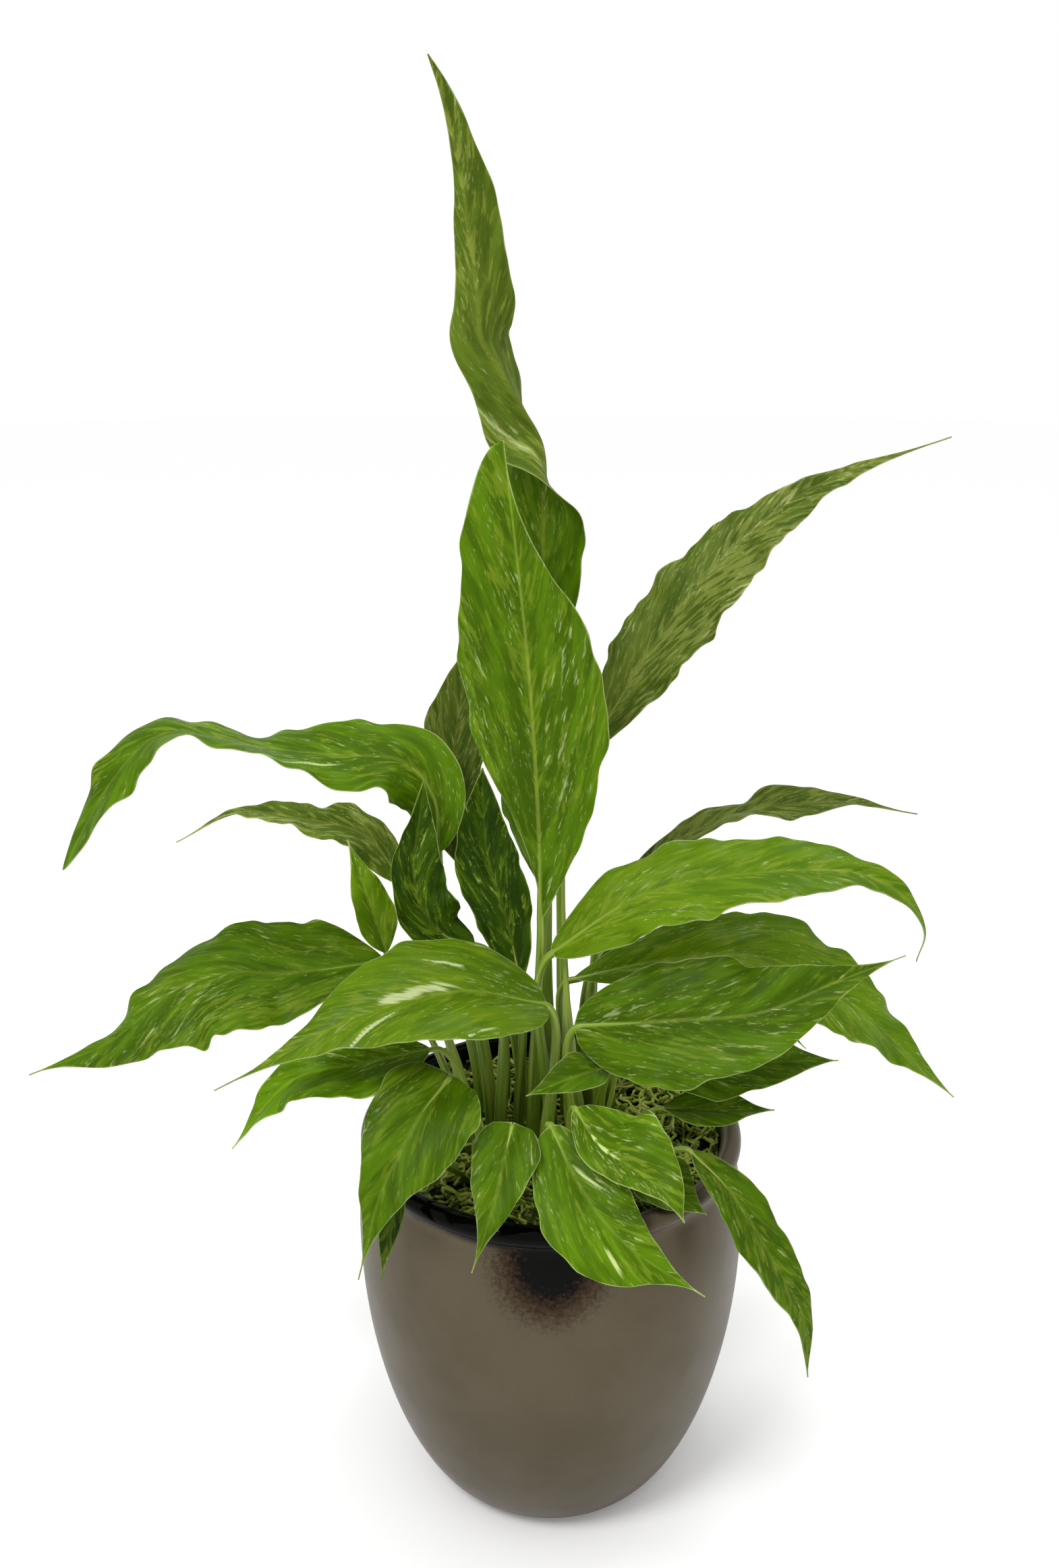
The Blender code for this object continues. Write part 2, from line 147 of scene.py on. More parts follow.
def smooth_step(values: np.ndarray | float, start: float, end: float) -> np.ndarray:
    """Rises smoothly from 0 at start to 1 at end."""
    share = np.clip((np.asarray(values, float) - start) / (end - start), 0, 1)
    return share * share * (3 - 2 * share)


def smooth_run(points: np.ndarray, steps: int) -> np.ndarray:
    """Runs a smooth curve through points.

    Args:
        points: The points that it passes through, one a row.
        steps: How many even steps it is cut into.

    Returns:
        steps + 1 evenly spaced points along the curve.
    """
    run = np.vstack([2 * points[0] - points[1], points, 2 * points[-1] - points[-2]])
    cuts = np.linspace(0, 1, 32, endpoint=False)
    fine = []
    for a, b, c, d in zip(run, run[1:], run[2:], run[3:]):
        squared, cubed = 2 * a - 5 * b + 4 * c - d, 3 * b - a - 3 * c + d
        fine += [(2 * b + (c - a) * u + squared * u**2 + cubed * u**3) / 2 for u in cuts]
    fine = np.array(fine + [run[-2]])
    travel = np.append(0, np.cumsum(np.linalg.norm(np.diff(fine, axis=0), axis=1)))
    even = np.linspace(0, travel[-1], steps + 1)
    return np.stack([np.interp(even, travel, fine[:, axis]) for axis in range(3)], axis=1)


def softened(values: np.ndarray, reach: float) -> np.ndarray:
    """Blurs rows of values along their length.

    Args:
        values: The values, one station a row.
        reach: The blur's spread as a share of the length.

    Returns:
        The blurred values, with the ends held.
    """
    spread = max(1, int(3 * reach * len(values)))
    kernel = np.exp(-(np.arange(-spread, spread + 1) / (reach * len(values))) ** 2)
    kernel /= kernel.sum()
    padded = np.pad(values, ((spread, spread), (0, 0)), mode="edge")
    return np.stack([np.convolve(padded[:, k], kernel, mode="valid") for k in range(values.shape[1])], axis=1)


def mesh_object(name: str, points: np.ndarray, faces: list[tuple[int, ...]] | np.ndarray) -> bpy.types.Object:
    """Makes a smooth-shaded mesh object at the origin.

    Args:
        name: The piece's name.
        points: Its points in millimetres.
        faces: Its faces as point numbers.

    Returns:
        The object, linked into the scene.
    """
    mesh = bpy.data.meshes.new(name)
    mesh.from_pydata((np.asarray(points) * MM).tolist(), [], [tuple(int(v) for v in face) for face in faces])
    mesh.shade_smooth()
    obj = bpy.data.objects.new(name, mesh)
    bpy.context.scene.collection.objects.link(obj)
    return obj


def paint(obj: bpy.types.Object, name: str, values: np.ndarray) -> None:
    """Stores a value or a vector on each point of a mesh, for its material to read.

    Args:
        obj: The mesh object.
        name: The attribute's name.
        values: One number or three for each point.
    """
    vector = values.ndim == 2
    attribute = obj.data.attributes.new(name, "FLOAT_VECTOR" if vector else "FLOAT", "POINT")
    attribute.data.foreach_set("vector" if vector else "value", np.ascontiguousarray(values, np.float32).ravel())


def settle(piece: bpy.types.Object, replaced: tuple[str, ...] = ()) -> None:
    """Ties a finished piece to the plant's one body.

    Args:
        piece: The finished object.
        replaced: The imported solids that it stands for.
    """
    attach(piece, "root")
    if replaced:
        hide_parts(*replaced)
    LOG.info("%s: %d faces", piece.name, len(piece.data.polygons))


# Finishes


class LeafFinish(Enum):
    """The greens that the plant's leaves come in."""

    GREEN = "leaf_green"
    BRIGHT = "leaf_bright"
    DARK = "leaf_dark"
    GREY = "leaf_grey"


@dataclass(frozen=True)
class Streaks:
    """Marks drawn out along a leaf's side veins, gathered in drifts.

    Attributes:
        wide: A mark's width in mm.
        long: A mark's length in mm.
        start: The level of the pattern at which a mark begins to show.
        full: The level at which it is at its strongest.
        drift: The size in mm of the drifts that the marks gather in.
        gather: How strongly they gather.
        seed: Shifts the pattern, so that two kinds of mark don't lie on each other.
    """

    wide: float
    long: float
    start: float
    full: float
    drift: float
    gather: float
    seed: float

    def mask(self, tree: bpy.types.NodeTree, flow: bpy.types.NodeSocket) -> bpy.types.NodeSocket:
        """Builds the pattern.

        Args:
            tree: The leaf material's tree.
            flow: The blade's own coordinates in mm, along its veins.

        Returns:
            A socket that is 1 on a mark and 0 off it.
        """
        drawn = add_node(tree, "ShaderNodeVectorMath", {"operation": "MULTIPLY_ADD"},
                         {0: flow, 1: (1 / self.wide, 1 / self.long, 1.0), 2: (self.seed, self.seed, self.seed)})
        marks = add_node(tree, "ShaderNodeTexNoise", {}, {"Vector": drawn.outputs[0], "Scale": 1.0, "Detail": 3.0,
                                                         "Roughness": 0.55, "Distortion": 0.25})
        spread = add_node(tree, "ShaderNodeVectorMath", {"operation": "MULTIPLY_ADD"},
                          {0: flow, 1: (1 / self.drift, 0.6 / self.drift, 1.0), 2: (0.0, self.seed, -self.seed)})
        drifts = add_node(tree, "ShaderNodeTexNoise", {}, {"Vector": spread.outputs[0], "Scale": 1.0, "Detail": 1.0})
        lift = add_node(tree, "ShaderNodeMath", {"operation": "MULTIPLY_ADD"},
                        {0: drifts.outputs[0], 1: self.gather, 2: -0.5 * self.gather})
        level = add_node(tree, "ShaderNodeMath", {"operation": "ADD"}, {0: marks.outputs[0], 1: lift.outputs[0]})
        return add_node(tree, "ShaderNodeMapRange", {"interpolation_type": "SMOOTHSTEP"},
                        {0: level.outputs[0], 1: self.start, 2: self.full}).outputs[0]


@dataclass(frozen=True)
class LeafSkin:
    """One face of a variegated peace lily leaf: waxy and green, splashed with cream along its side veins.

    The wax gives a soft broad gloss. Cream marks are cells without green, so they follow the veins that part
    them, from specks under a millimetre to long blazes. The midrib and the thin margin are paler.

    Attributes:
        name: The material's name.
        deep_and_shade: The deeper green of the mottled cells, also painted down the sunk side veins as the shade in
            them.
        fresh: The main green.
        light: The yellow green of the marbling.
        cream: The colour of the flecks and blazes.
        rib: The colour of the midrib.
        marbling: Where the marbling starts; lower gives more.
        flecking: Where the flecks start; lower gives more.
        strength: How strongly the flecks show.
        roughness: The wax's roughness.
        gloss: The specular level, under the usual one because fresh leaf wax is thin and matt.
        rib_width: Half the midrib's width in mm at the collar.
    """

    name: str
    deep_and_shade: str
    fresh: str
    light: str
    cream: str
    rib: str
    marbling: float = 0.52
    flecking: float = 0.64
    strength: float = 0.5
    roughness: float = 0.42
    gloss: float = 0.06
    rib_width: float = 0.6

    def material(self) -> bpy.types.Material:
        """Builds the finish from the blade's flow, blade, cream, tone and rib attributes; tone is partly painted
        light.

        Returns:
            The leaf material.
        """
        material, tree, shader = new_material(self.name)
        flow = add_node(tree, "ShaderNodeAttribute", {"attribute_name": "flow"}).outputs["Vector"]
        blade = add_node(tree, "ShaderNodeAttribute", {"attribute_name": "blade"}).outputs["Vector"]
        blaze = add_node(tree, "ShaderNodeAttribute", {"attribute_name": "cream"}).outputs["Fac"]
        tone = add_node(tree, "ShaderNodeAttribute", {"attribute_name": "tone"}).outputs["Fac"]
        rib_show = add_node(tree, "ShaderNodeAttribute", {"attribute_name": "rib"}).outputs["Fac"]
        flow_parts = add_node(tree, "ShaderNodeSeparateXYZ", {}, {0: flow})
        blade_parts = add_node(tree, "ShaderNodeSeparateXYZ", {}, {0: blade})

        # The main green is mottled with deeper cells in bands 4 mm wide, in drifts about 30 mm across.
        broad = Streaks(4.0, 15, 0.34, 0.66, 30, 0.5, 3.1).mask(tree, flow)
        colour = add_node(tree, "ShaderNodeMix", {"data_type": "RGBA"},
                          {0: broad, 6: linear_colour(self.deep_and_shade), 7: linear_colour(self.fresh)}).outputs[2]
        # Marbling in blotches 1.7 mm wide along the veins, then cream strokes 1.5 mm wide, then specks.
        marks = (
            (Streaks(1.7, 7, self.marbling, self.marbling + 0.16, 22, 0.4, 11.7), self.light, 0.6),
            (Streaks(1.5, 6, self.flecking, self.flecking + 0.14, 20, 0.4, 23.9), self.cream, self.strength),
            (Streaks(0.9, 1.8, self.flecking, self.flecking + 0.12, 12, 0.35, 37.3), self.cream,
             self.strength * 0.8),
        )
        for streaks, hue, weight in marks:
            mask = add_node(tree, "ShaderNodeMath", {"operation": "MULTIPLY"},
                            {0: streaks.mask(tree, flow), 1: weight})
            colour = add_node(tree, "ShaderNodeMix", {"data_type": "RGBA"},
                              {0: mask.outputs[0], 6: colour, 7: linear_colour(hue)}).outputs[2]
        # Cream blazes are broken along the veins, so their ends are ragged.
        ragged = Streaks(1.8, 22, 0.2, 0.8, 20, 0.2, 51.1).mask(tree, flow)
        edge = add_node(tree, "ShaderNodeMath", {"operation": "MULTIPLY_ADD"}, {0: ragged, 1: 0.5, 2: blaze})
        blaze_mask = add_node(tree, "ShaderNodeMapRange", {"interpolation_type": "SMOOTHSTEP"},
                              {0: edge.outputs[0], 1: 0.62, 2: 0.86, 4: 0.9})
        colour = add_node(tree, "ShaderNodeMix", {"data_type": "RGBA"},
                          {0: blaze_mask.outputs[0], 6: colour, 7: linear_colour(self.cream)}).outputs[2]
        # The midrib narrows towards the tip.
        off_rib = add_node(tree, "ShaderNodeMath", {"operation": "ABSOLUTE"}, {0: blade_parts.outputs[0]})
        rib_half = add_node(tree, "ShaderNodeMapRange", {}, {0: blade_parts.outputs[1], 3: self.rib_width, 4: 0.0})
        rib_soft = add_node(tree, "ShaderNodeMath", {"operation": "ADD"}, {0: rib_half.outputs[0], 1: 0.5})
        rib = add_node(tree, "ShaderNodeMapRange", {"interpolation_type": "SMOOTHSTEP"},
                       {0: off_rib.outputs[0], 1: rib_half.outputs[0], 2: rib_soft.outputs[0], 3: rib_show, 4: 0.0})
        colour = add_node(tree, "ShaderNodeMix", {"data_type": "RGBA"},
                          {0: rib.outputs[0], 6: colour, 7: linear_colour(self.rib)}).outputs[2]
        # A margin 0.4 mm wide holds no green, and is broken in places.
        worn = add_node(tree, "ShaderNodeTexNoise", {}, {"Vector": flow, "Scale": 0.12, "Detail": 2.0})
        margin_width = add_node(tree, "ShaderNodeMapRange", {},
                                {0: worn.outputs[0], 1: 0.35, 2: 0.65, 3: 0.1, 4: 0.7})
        margin = add_node(tree, "ShaderNodeMapRange", {"interpolation_type": "SMOOTHSTEP"},
                          {0: blade_parts.outputs[2], 1: 0.0, 2: margin_width.outputs[0], 3: 0.45, 4: 0.0})
        colour = add_node(tree, "ShaderNodeMix", {"data_type": "RGBA"},
                          {0: margin.outputs[0], 6: colour, 7: linear_colour(self.cream)}).outputs[2]
        # Side veins are sunk lines, painted a little darker than the blade as the shade in them.
        vein_turn = add_node(tree, "ShaderNodeMath", {"operation": "DIVIDE"}, {0: flow_parts.outputs[0], 1: VEIN_GAP})
        vein_saw = add_node(tree, "ShaderNodeMath", {"operation": "PINGPONG"}, {0: vein_turn.outputs[0], 1: 0.5})
        vein = add_node(tree, "ShaderNodeMapRange", {"interpolation_type": "SMOOTHSTEP"},
                        {0: vein_saw.outputs[0], 1: 0.0, 2: 0.09, 3: 0.25, 4: 0.0})
        colour = add_node(tree, "ShaderNodeMix", {"data_type": "RGBA"},
                          {0: vein.outputs[0], 6: colour, 7: linear_colour(self.deep_and_shade)}).outputs[2]
        # The leaf's lightness scales its colour: partly its own, partly painted light that lifts shaded leaves.
        toned_and_lit = add_node(tree, "ShaderNodeHueSaturation", {}, {"Value": tone, "Color": colour})
        tree.links.new(toned_and_lit.outputs[0], shader.inputs["Base Color"])

        # The finest veins, 1.1 mm apart, and the cells between them only show in the gloss.
        fine = Streaks(1.1, 8, 0.3, 0.7, 30, 0.0, 67.9).mask(tree, flow)
        height = add_node(tree, "ShaderNodeMath", {"operation": "MULTIPLY_ADD"},
                          {0: vein.outputs[0], 1: -2.0, 2: fine})
        bump = add_node(tree, "ShaderNodeBump", {}, {"Strength": 0.35, "Distance": 0.12 * MM,
                                                    "Height": height.outputs[0]})
        tree.links.new(bump.outputs[0], shader.inputs["Normal"])
        rough = add_node(tree, "ShaderNodeMapRange", {},
                         {0: fine, 3: self.roughness - 0.06, 4: self.roughness + 0.08})
        tree.links.new(rough.outputs[0], shader.inputs["Roughness"])
        shader.inputs["IOR"].default_value = 1.45
        shader.inputs["Specular IOR Level"].default_value = self.gloss
        return material


@dataclass(frozen=True)
class StalkSkin:
    """Peace lily petiole: juicy, smooth and ribbed lengthwise, yellow green with whitish stripes.

    Attributes:
        name: The material's name.
        green: The main green.
        pale: The whitish green of the stripes and of the lit ribs.
        deep_and_shade: The darker green of the stripes, also painted as shade in the grooves and down by the moss.
        roughness: The skin's roughness.
    """

    name: str
    green: str
    pale: str
    deep_and_shade: str
    roughness: float = 0.38

    def material(self) -> bpy.types.Material:
        """Builds the finish from the stalk's own run attribute: mm along, turns round, seed.

        Returns:
            The stalk material.
        """
        material, tree, shader = new_material(self.name)
        run = add_node(tree, "ShaderNodeAttribute", {"attribute_name": "run"}).outputs["Vector"]
        parts = add_node(tree, "ShaderNodeSeparateXYZ", {}, {0: run})
        # Stripes under 1 mm wide run for 60 mm or so. They also raise the ribs, so the pale ones are painted
        # highlights on the ribs and the dark ones painted shade in the grooves.
        drawn = add_node(tree, "ShaderNodeVectorMath", {"operation": "MULTIPLY"}, {0: run, 1: (1 / 45, 9.0, 1.0)})
        stripes = add_node(tree, "ShaderNodeTexNoise", {}, {"Vector": drawn.outputs[0], "Scale": 1.0, "Detail": 2.0})
        pale = add_node(tree, "ShaderNodeMapRange", {"interpolation_type": "SMOOTHSTEP"},
                        {0: stripes.outputs[0], 1: 0.48, 2: 0.68, 4: 0.85})
        colour = add_node(tree, "ShaderNodeMix", {"data_type": "RGBA"},
                          {0: pale.outputs[0], 6: linear_colour(self.green), 7: linear_colour(self.pale)}).outputs[2]
        dark = add_node(tree, "ShaderNodeMapRange", {"interpolation_type": "SMOOTHSTEP"},
                        {0: stripes.outputs[0], 1: 0.46, 2: 0.3, 4: 0.7})
        colour = add_node(tree, "ShaderNodeMix", {"data_type": "RGBA"},
                          {0: dark.outputs[0], 6: colour, 7: linear_colour(self.deep_and_shade)}).outputs[2]
        # The lowest 30 mm, down by the moss, is darkened with painted shade.
        foot = add_node(tree, "ShaderNodeMapRange", {"interpolation_type": "SMOOTHSTEP"},
                        {0: parts.outputs[0], 1: 30.0, 2: 0.0, 4: 0.7})
        colour = add_node(tree, "ShaderNodeMix", {"data_type": "RGBA"},
                          {0: foot.outputs[0], 6: colour, 7: linear_colour(self.deep_and_shade)}).outputs[2]
        tree.links.new(colour, shader.inputs["Base Color"])
        bump = add_node(tree, "ShaderNodeBump", {}, {"Strength": 0.4, "Distance": 0.15 * MM,
                                                    "Height": stripes.outputs[0]})
        tree.links.new(bump.outputs[0], shader.inputs["Normal"])
        shader.inputs["Roughness"].default_value = self.roughness
        shader.inputs["Specular IOR Level"].default_value = 0.3
        return material


@dataclass(frozen=True)
class BronzeGlaze:
    """Iron-rich reduction glaze on stoneware: satin bronze grey, and glassy where dark reflections are painted black.

    Thin glaze over the body breaks into fine metallic speckle. Black is painted over the lip, except at the right,
    as its dark reflection and the shade under it, and down the front as the camera's dark reflection, whose
    ragged edge is freckled red brown.

    Attributes:
        neck: The height in mm down to which black is painted round the lip.
        body: The satin bronze grey of the wall.
        shade: The darker bronze in its clouds.
        painted_black_colour: The black of the painted reflections and of the painted shade under the lip.
        rust: The red brown freckles at the edge of the front's painted reflection.
        clay: The bare stoneware under the foot.
        lip_black_fade: From where to where across the pot in mm the lip's painted black thins out, towards the right.
        lip_black_stray: How far in mm that place wanders.
        front_reflection_place: The middle of the front's painted reflection in mm.
        front_reflection_size: Its half extents in mm.
    """

    neck: float
    body: str = "#564e3f"
    shade: str = "#4e4635"
    painted_black_colour: str = "#040403"
    rust: str = "#27170d"
    clay: str = "#8d8373"
    lip_black_fade: tuple[float, float] = (22.0, 44.0)
    lip_black_stray: float = 15.0
    front_reflection_place: Place = (-1.0, -69.0, 133.0)
    front_reflection_size: Place = (15.0, 22.0, 17.0)

    def material(self) -> bpy.types.Material:
        """Builds the glaze from Object coordinates.

        Returns:
            The pot's material.
        """
        material, tree, shader = new_material("Bronze reduction glaze")
        place = add_node(tree, "ShaderNodeTexCoord").outputs["Object"]
        millimetres = add_node(tree, "ShaderNodeVectorMath", {"operation": "SCALE"},
                               {0: place, "Scale": 1 / MM}).outputs[0]
        parts = add_node(tree, "ShaderNodeSeparateXYZ", {}, {0: millimetres})
        clouds = add_node(tree, "ShaderNodeTexNoise", {}, {"Vector": millimetres, "Scale": 1 / 38, "Detail": 4.0,
                                                          "Roughness": 0.6})
        speckle = add_node(tree, "ShaderNodeTexNoise", {}, {"Vector": millimetres, "Scale": 1 / 0.7, "Detail": 2.0,
                                                           "Roughness": 0.7})
        shade = add_node(tree, "ShaderNodeMapRange", {"interpolation_type": "SMOOTHSTEP"},
                         {0: clouds.outputs[0], 1: 0.35, 2: 0.7, 4: 0.8})
        colour = add_node(tree, "ShaderNodeMix", {"data_type": "RGBA"},
                          {0: shade.outputs[0], 6: linear_colour(self.body), 7: linear_colour(self.shade)}).outputs[2]
        grain = add_node(tree, "ShaderNodeMapRange", {}, {0: speckle.outputs[0], 1: 0.4, 2: 0.75, 4: 0.35})
        colour = add_node(tree, "ShaderNodeMix", {"data_type": "RGBA"},
                          {0: grain.outputs[0], 6: colour, 7: linear_colour(self.shade)}).outputs[2]

        # Painted black: the lip's dark reflection and the shade under it, above the neck line, which wanders by a few
        # millimetres and ends at the right; and the camera's dark reflection, painted down the front.
        wander = add_node(tree, "ShaderNodeTexNoise", {}, {"Vector": millimetres, "Scale": 1 / 22, "Detail": 3.0})
        line = add_node(tree, "ShaderNodeMath", {"operation": "MULTIPLY_ADD"},
                        {0: wander.outputs[0], 1: 5.0, 2: -2.5})
        height = add_node(tree, "ShaderNodeMath", {"operation": "ADD"}, {0: parts.outputs[2], 1: line.outputs[0]})
        neck_band = add_node(tree, "ShaderNodeMapRange", {"interpolation_type": "SMOOTHSTEP"},
                             {0: height.outputs[0], 1: self.neck - 2.5, 2: self.neck + 1.5})
        astray = add_node(tree, "ShaderNodeMath", {"operation": "MULTIPLY_ADD"},
                          {0: wander.outputs[0], 1: 2 * self.lip_black_stray, 2: parts.outputs[0]})
        fade_start, fade_end = (edge + self.lip_black_stray for edge in self.lip_black_fade)
        thinned = add_node(tree, "ShaderNodeMapRange", {"interpolation_type": "SMOOTHSTEP"},
                           {0: astray.outputs[0], 1: fade_start, 2: fade_end, 3: 1.0, 4: 0.0})
        lip_painted_black = add_node(tree, "ShaderNodeMath", {"operation": "MULTIPLY"}, {0: neck_band.outputs[0],
                                                                                1: thinned.outputs[0]})
        off = add_node(tree, "ShaderNodeVectorMath", {"operation": "SUBTRACT"}, {0: millimetres, 1: self.front_reflection_place})
        shrunk = add_node(tree, "ShaderNodeVectorMath", {"operation": "DIVIDE"},
                          {0: off.outputs[0], 1: self.front_reflection_size})
        far = add_node(tree, "ShaderNodeVectorMath", {"operation": "LENGTH"}, {0: shrunk.outputs[0]})
        freckle = add_node(tree, "ShaderNodeTexNoise", {}, {"Vector": millimetres, "Scale": 1 / 1.6, "Detail": 4.0,
                                                           "Roughness": 0.75})
        frayed = add_node(tree, "ShaderNodeMath", {"operation": "MULTIPLY_ADD"}, {0: freckle.outputs[0], 1: 1.3,
                                                                                 2: far.outputs["Value"]})
        front_reflection = add_node(tree, "ShaderNodeMapRange", {"interpolation_type": "SMOOTHSTEP"},
                            {0: frayed.outputs[0], 1: 1.6, 2: 1.25})
        front_rust = add_node(tree, "ShaderNodeMapRange", {"interpolation_type": "SMOOTHSTEP"},
                            {0: frayed.outputs[0], 1: 2.3, 2: 1.5, 4: 0.85})
        # The front's painted reflection, freckled red brown at its ragged edge, then all painted black over the
        # glaze.
        colour = add_node(tree, "ShaderNodeMix", {"data_type": "RGBA"},
                          {0: front_rust.outputs[0], 6: colour, 7: linear_colour(self.rust)}).outputs[2]
        painted_black = add_node(tree, "ShaderNodeMath", {"operation": "MAXIMUM"}, {0: lip_painted_black.outputs[0],
                                                                          1: front_reflection.outputs[0]})
        colour = add_node(tree, "ShaderNodeMix", {"data_type": "RGBA"},
                          {0: painted_black.outputs[0], 6: colour, 7: linear_colour(self.painted_black_colour)}).outputs[2]
        bare = add_node(tree, "ShaderNodeMapRange", {"interpolation_type": "SMOOTHSTEP"},
                        {0: parts.outputs[2], 1: 0.9, 2: 0.3})
        colour = add_node(tree, "ShaderNodeMix", {"data_type": "RGBA"},
                          {0: bare.outputs[0], 6: colour, 7: linear_colour(self.clay)}).outputs[2]
        tree.links.new(colour, shader.inputs["Base Color"])

        satin = add_node(tree, "ShaderNodeMapRange", {}, {0: clouds.outputs[0], 1: 0.3, 2: 0.7, 3: 0.34, 4: 0.43})
        glassy = add_node(tree, "ShaderNodeMix", {"data_type": "FLOAT"},
                          {0: painted_black.outputs[0], 2: satin.outputs[0], 3: 0.09})
        matt = add_node(tree, "ShaderNodeMix", {"data_type": "FLOAT"},
                        {0: bare.outputs[0], 2: glassy.outputs[0], 3: 0.85})
        tree.links.new(matt.outputs[0], shader.inputs["Roughness"])
        sheen = add_node(tree, "ShaderNodeMapRange", {}, {0: painted_black.outputs[0], 3: 0.6, 4: 0.0})
        dull = add_node(tree, "ShaderNodeMath", {"operation": "SUBTRACT", "use_clamp": True},
                        {0: sheen.outputs[0], 1: bare.outputs[0]})
        tree.links.new(dull.outputs[0], shader.inputs["Metallic"])
        bump = add_node(tree, "ShaderNodeBump", {}, {"Strength": 0.12, "Distance": 0.1 * MM,
                                                    "Height": speckle.outputs[0]})
        tree.links.new(bump.outputs[0], shader.inputs["Normal"])
        shader.inputs["Specular IOR Level"].default_value = 0.06
        return material


@dataclass(frozen=True)
class DampMix:
    """Moist peat mix: nearly black crumbs up to 4 mm, with paler fibre among them.

    Attributes:
        name: The material's name.
        dark: The wet peat.
        pale: The drier fibre.
        crumb: The crumbs' size in mm.
        strength: How strongly the crumbs stand out.
    """

    name: str
    dark: str
    pale: str
    crumb: float
    strength: float = 0.8

    def material(self) -> bpy.types.Material:
        """Builds the mix from Object coordinates.

        Returns:
            The mix's material.
        """
        material, tree, shader = new_material(self.name)
        place = add_node(tree, "ShaderNodeTexCoord").outputs["Object"]
        crumbs = add_node(tree, "ShaderNodeTexVoronoi", {}, {"Vector": place, "Scale": 1 / (self.crumb * MM)})
        fibre = add_node(tree, "ShaderNodeTexNoise", {}, {"Vector": place, "Scale": 1 / (2.0 * MM), "Detail": 5.0,
                                                         "Roughness": 0.7})
        pale = add_node(tree, "ShaderNodeMapRange", {"interpolation_type": "SMOOTHSTEP"},
                        {0: fibre.outputs[0], 1: 0.52, 2: 0.72})
        colour = add_node(tree, "ShaderNodeMix", {"data_type": "RGBA"},
                          {0: pale.outputs[0], 6: linear_colour(self.dark), 7: linear_colour(self.pale)})
        tree.links.new(colour.outputs[2], shader.inputs["Base Color"])
        bump = add_node(tree, "ShaderNodeBump", {"invert": True}, {"Strength": self.strength, "Distance": 1.2 * MM,
                                                                  "Height": crumbs.outputs["Distance"]})
        tree.links.new(bump.outputs[0], shader.inputs["Normal"])
        shader.inputs["Roughness"].default_value = 0.95
        shader.inputs["Specular IOR Level"].default_value = 0.15
        return material


@dataclass(frozen=True)
class MossStrand:
    """Dried and dyed preserved moss: wiry yellow green curls, some gone straw or dark.

    Attributes:
        green: The dark green strands.
        lime: The yellow green ones.
        straw: The bleached ones.
    """

    green: str = "#485c17"
    lime: str = "#a3b347"
    straw: str = "#c0bc80"

    def material(self) -> bpy.types.Material:
        """Builds the strands' finish; each strand falls in one of the pattern's 5 mm patches of hue.

        Returns:
            The strands' material.
        """
        material, tree, shader = new_material("Preserved moss strand")
        place = add_node(tree, "ShaderNodeTexCoord").outputs["Object"]
        patches = add_node(tree, "ShaderNodeTexNoise", {}, {"Vector": place, "Scale": 1 / (5.0 * MM), "Detail": 3.0,
                                                           "Roughness": 0.6})
        lime = add_node(tree, "ShaderNodeMapRange", {"interpolation_type": "SMOOTHSTEP"},
                        {0: patches.outputs[0], 1: 0.38, 2: 0.56})
        colour = add_node(tree, "ShaderNodeMix", {"data_type": "RGBA"},
                          {0: lime.outputs[0], 6: linear_colour(self.green), 7: linear_colour(self.lime)}).outputs[2]
        straw = add_node(tree, "ShaderNodeMapRange", {"interpolation_type": "SMOOTHSTEP"},
                         {0: patches.outputs[0], 1: 0.56, 2: 0.7})
        colour = add_node(tree, "ShaderNodeMix", {"data_type": "RGBA"},
                          {0: straw.outputs[0], 6: colour, 7: linear_colour(self.straw)}).outputs[2]
        tree.links.new(colour, shader.inputs["Base Color"])
        shader.inputs["Roughness"].default_value = 0.75
        shader.inputs["Specular IOR Level"].default_value = 0.25
        return material


# The pot and its filling


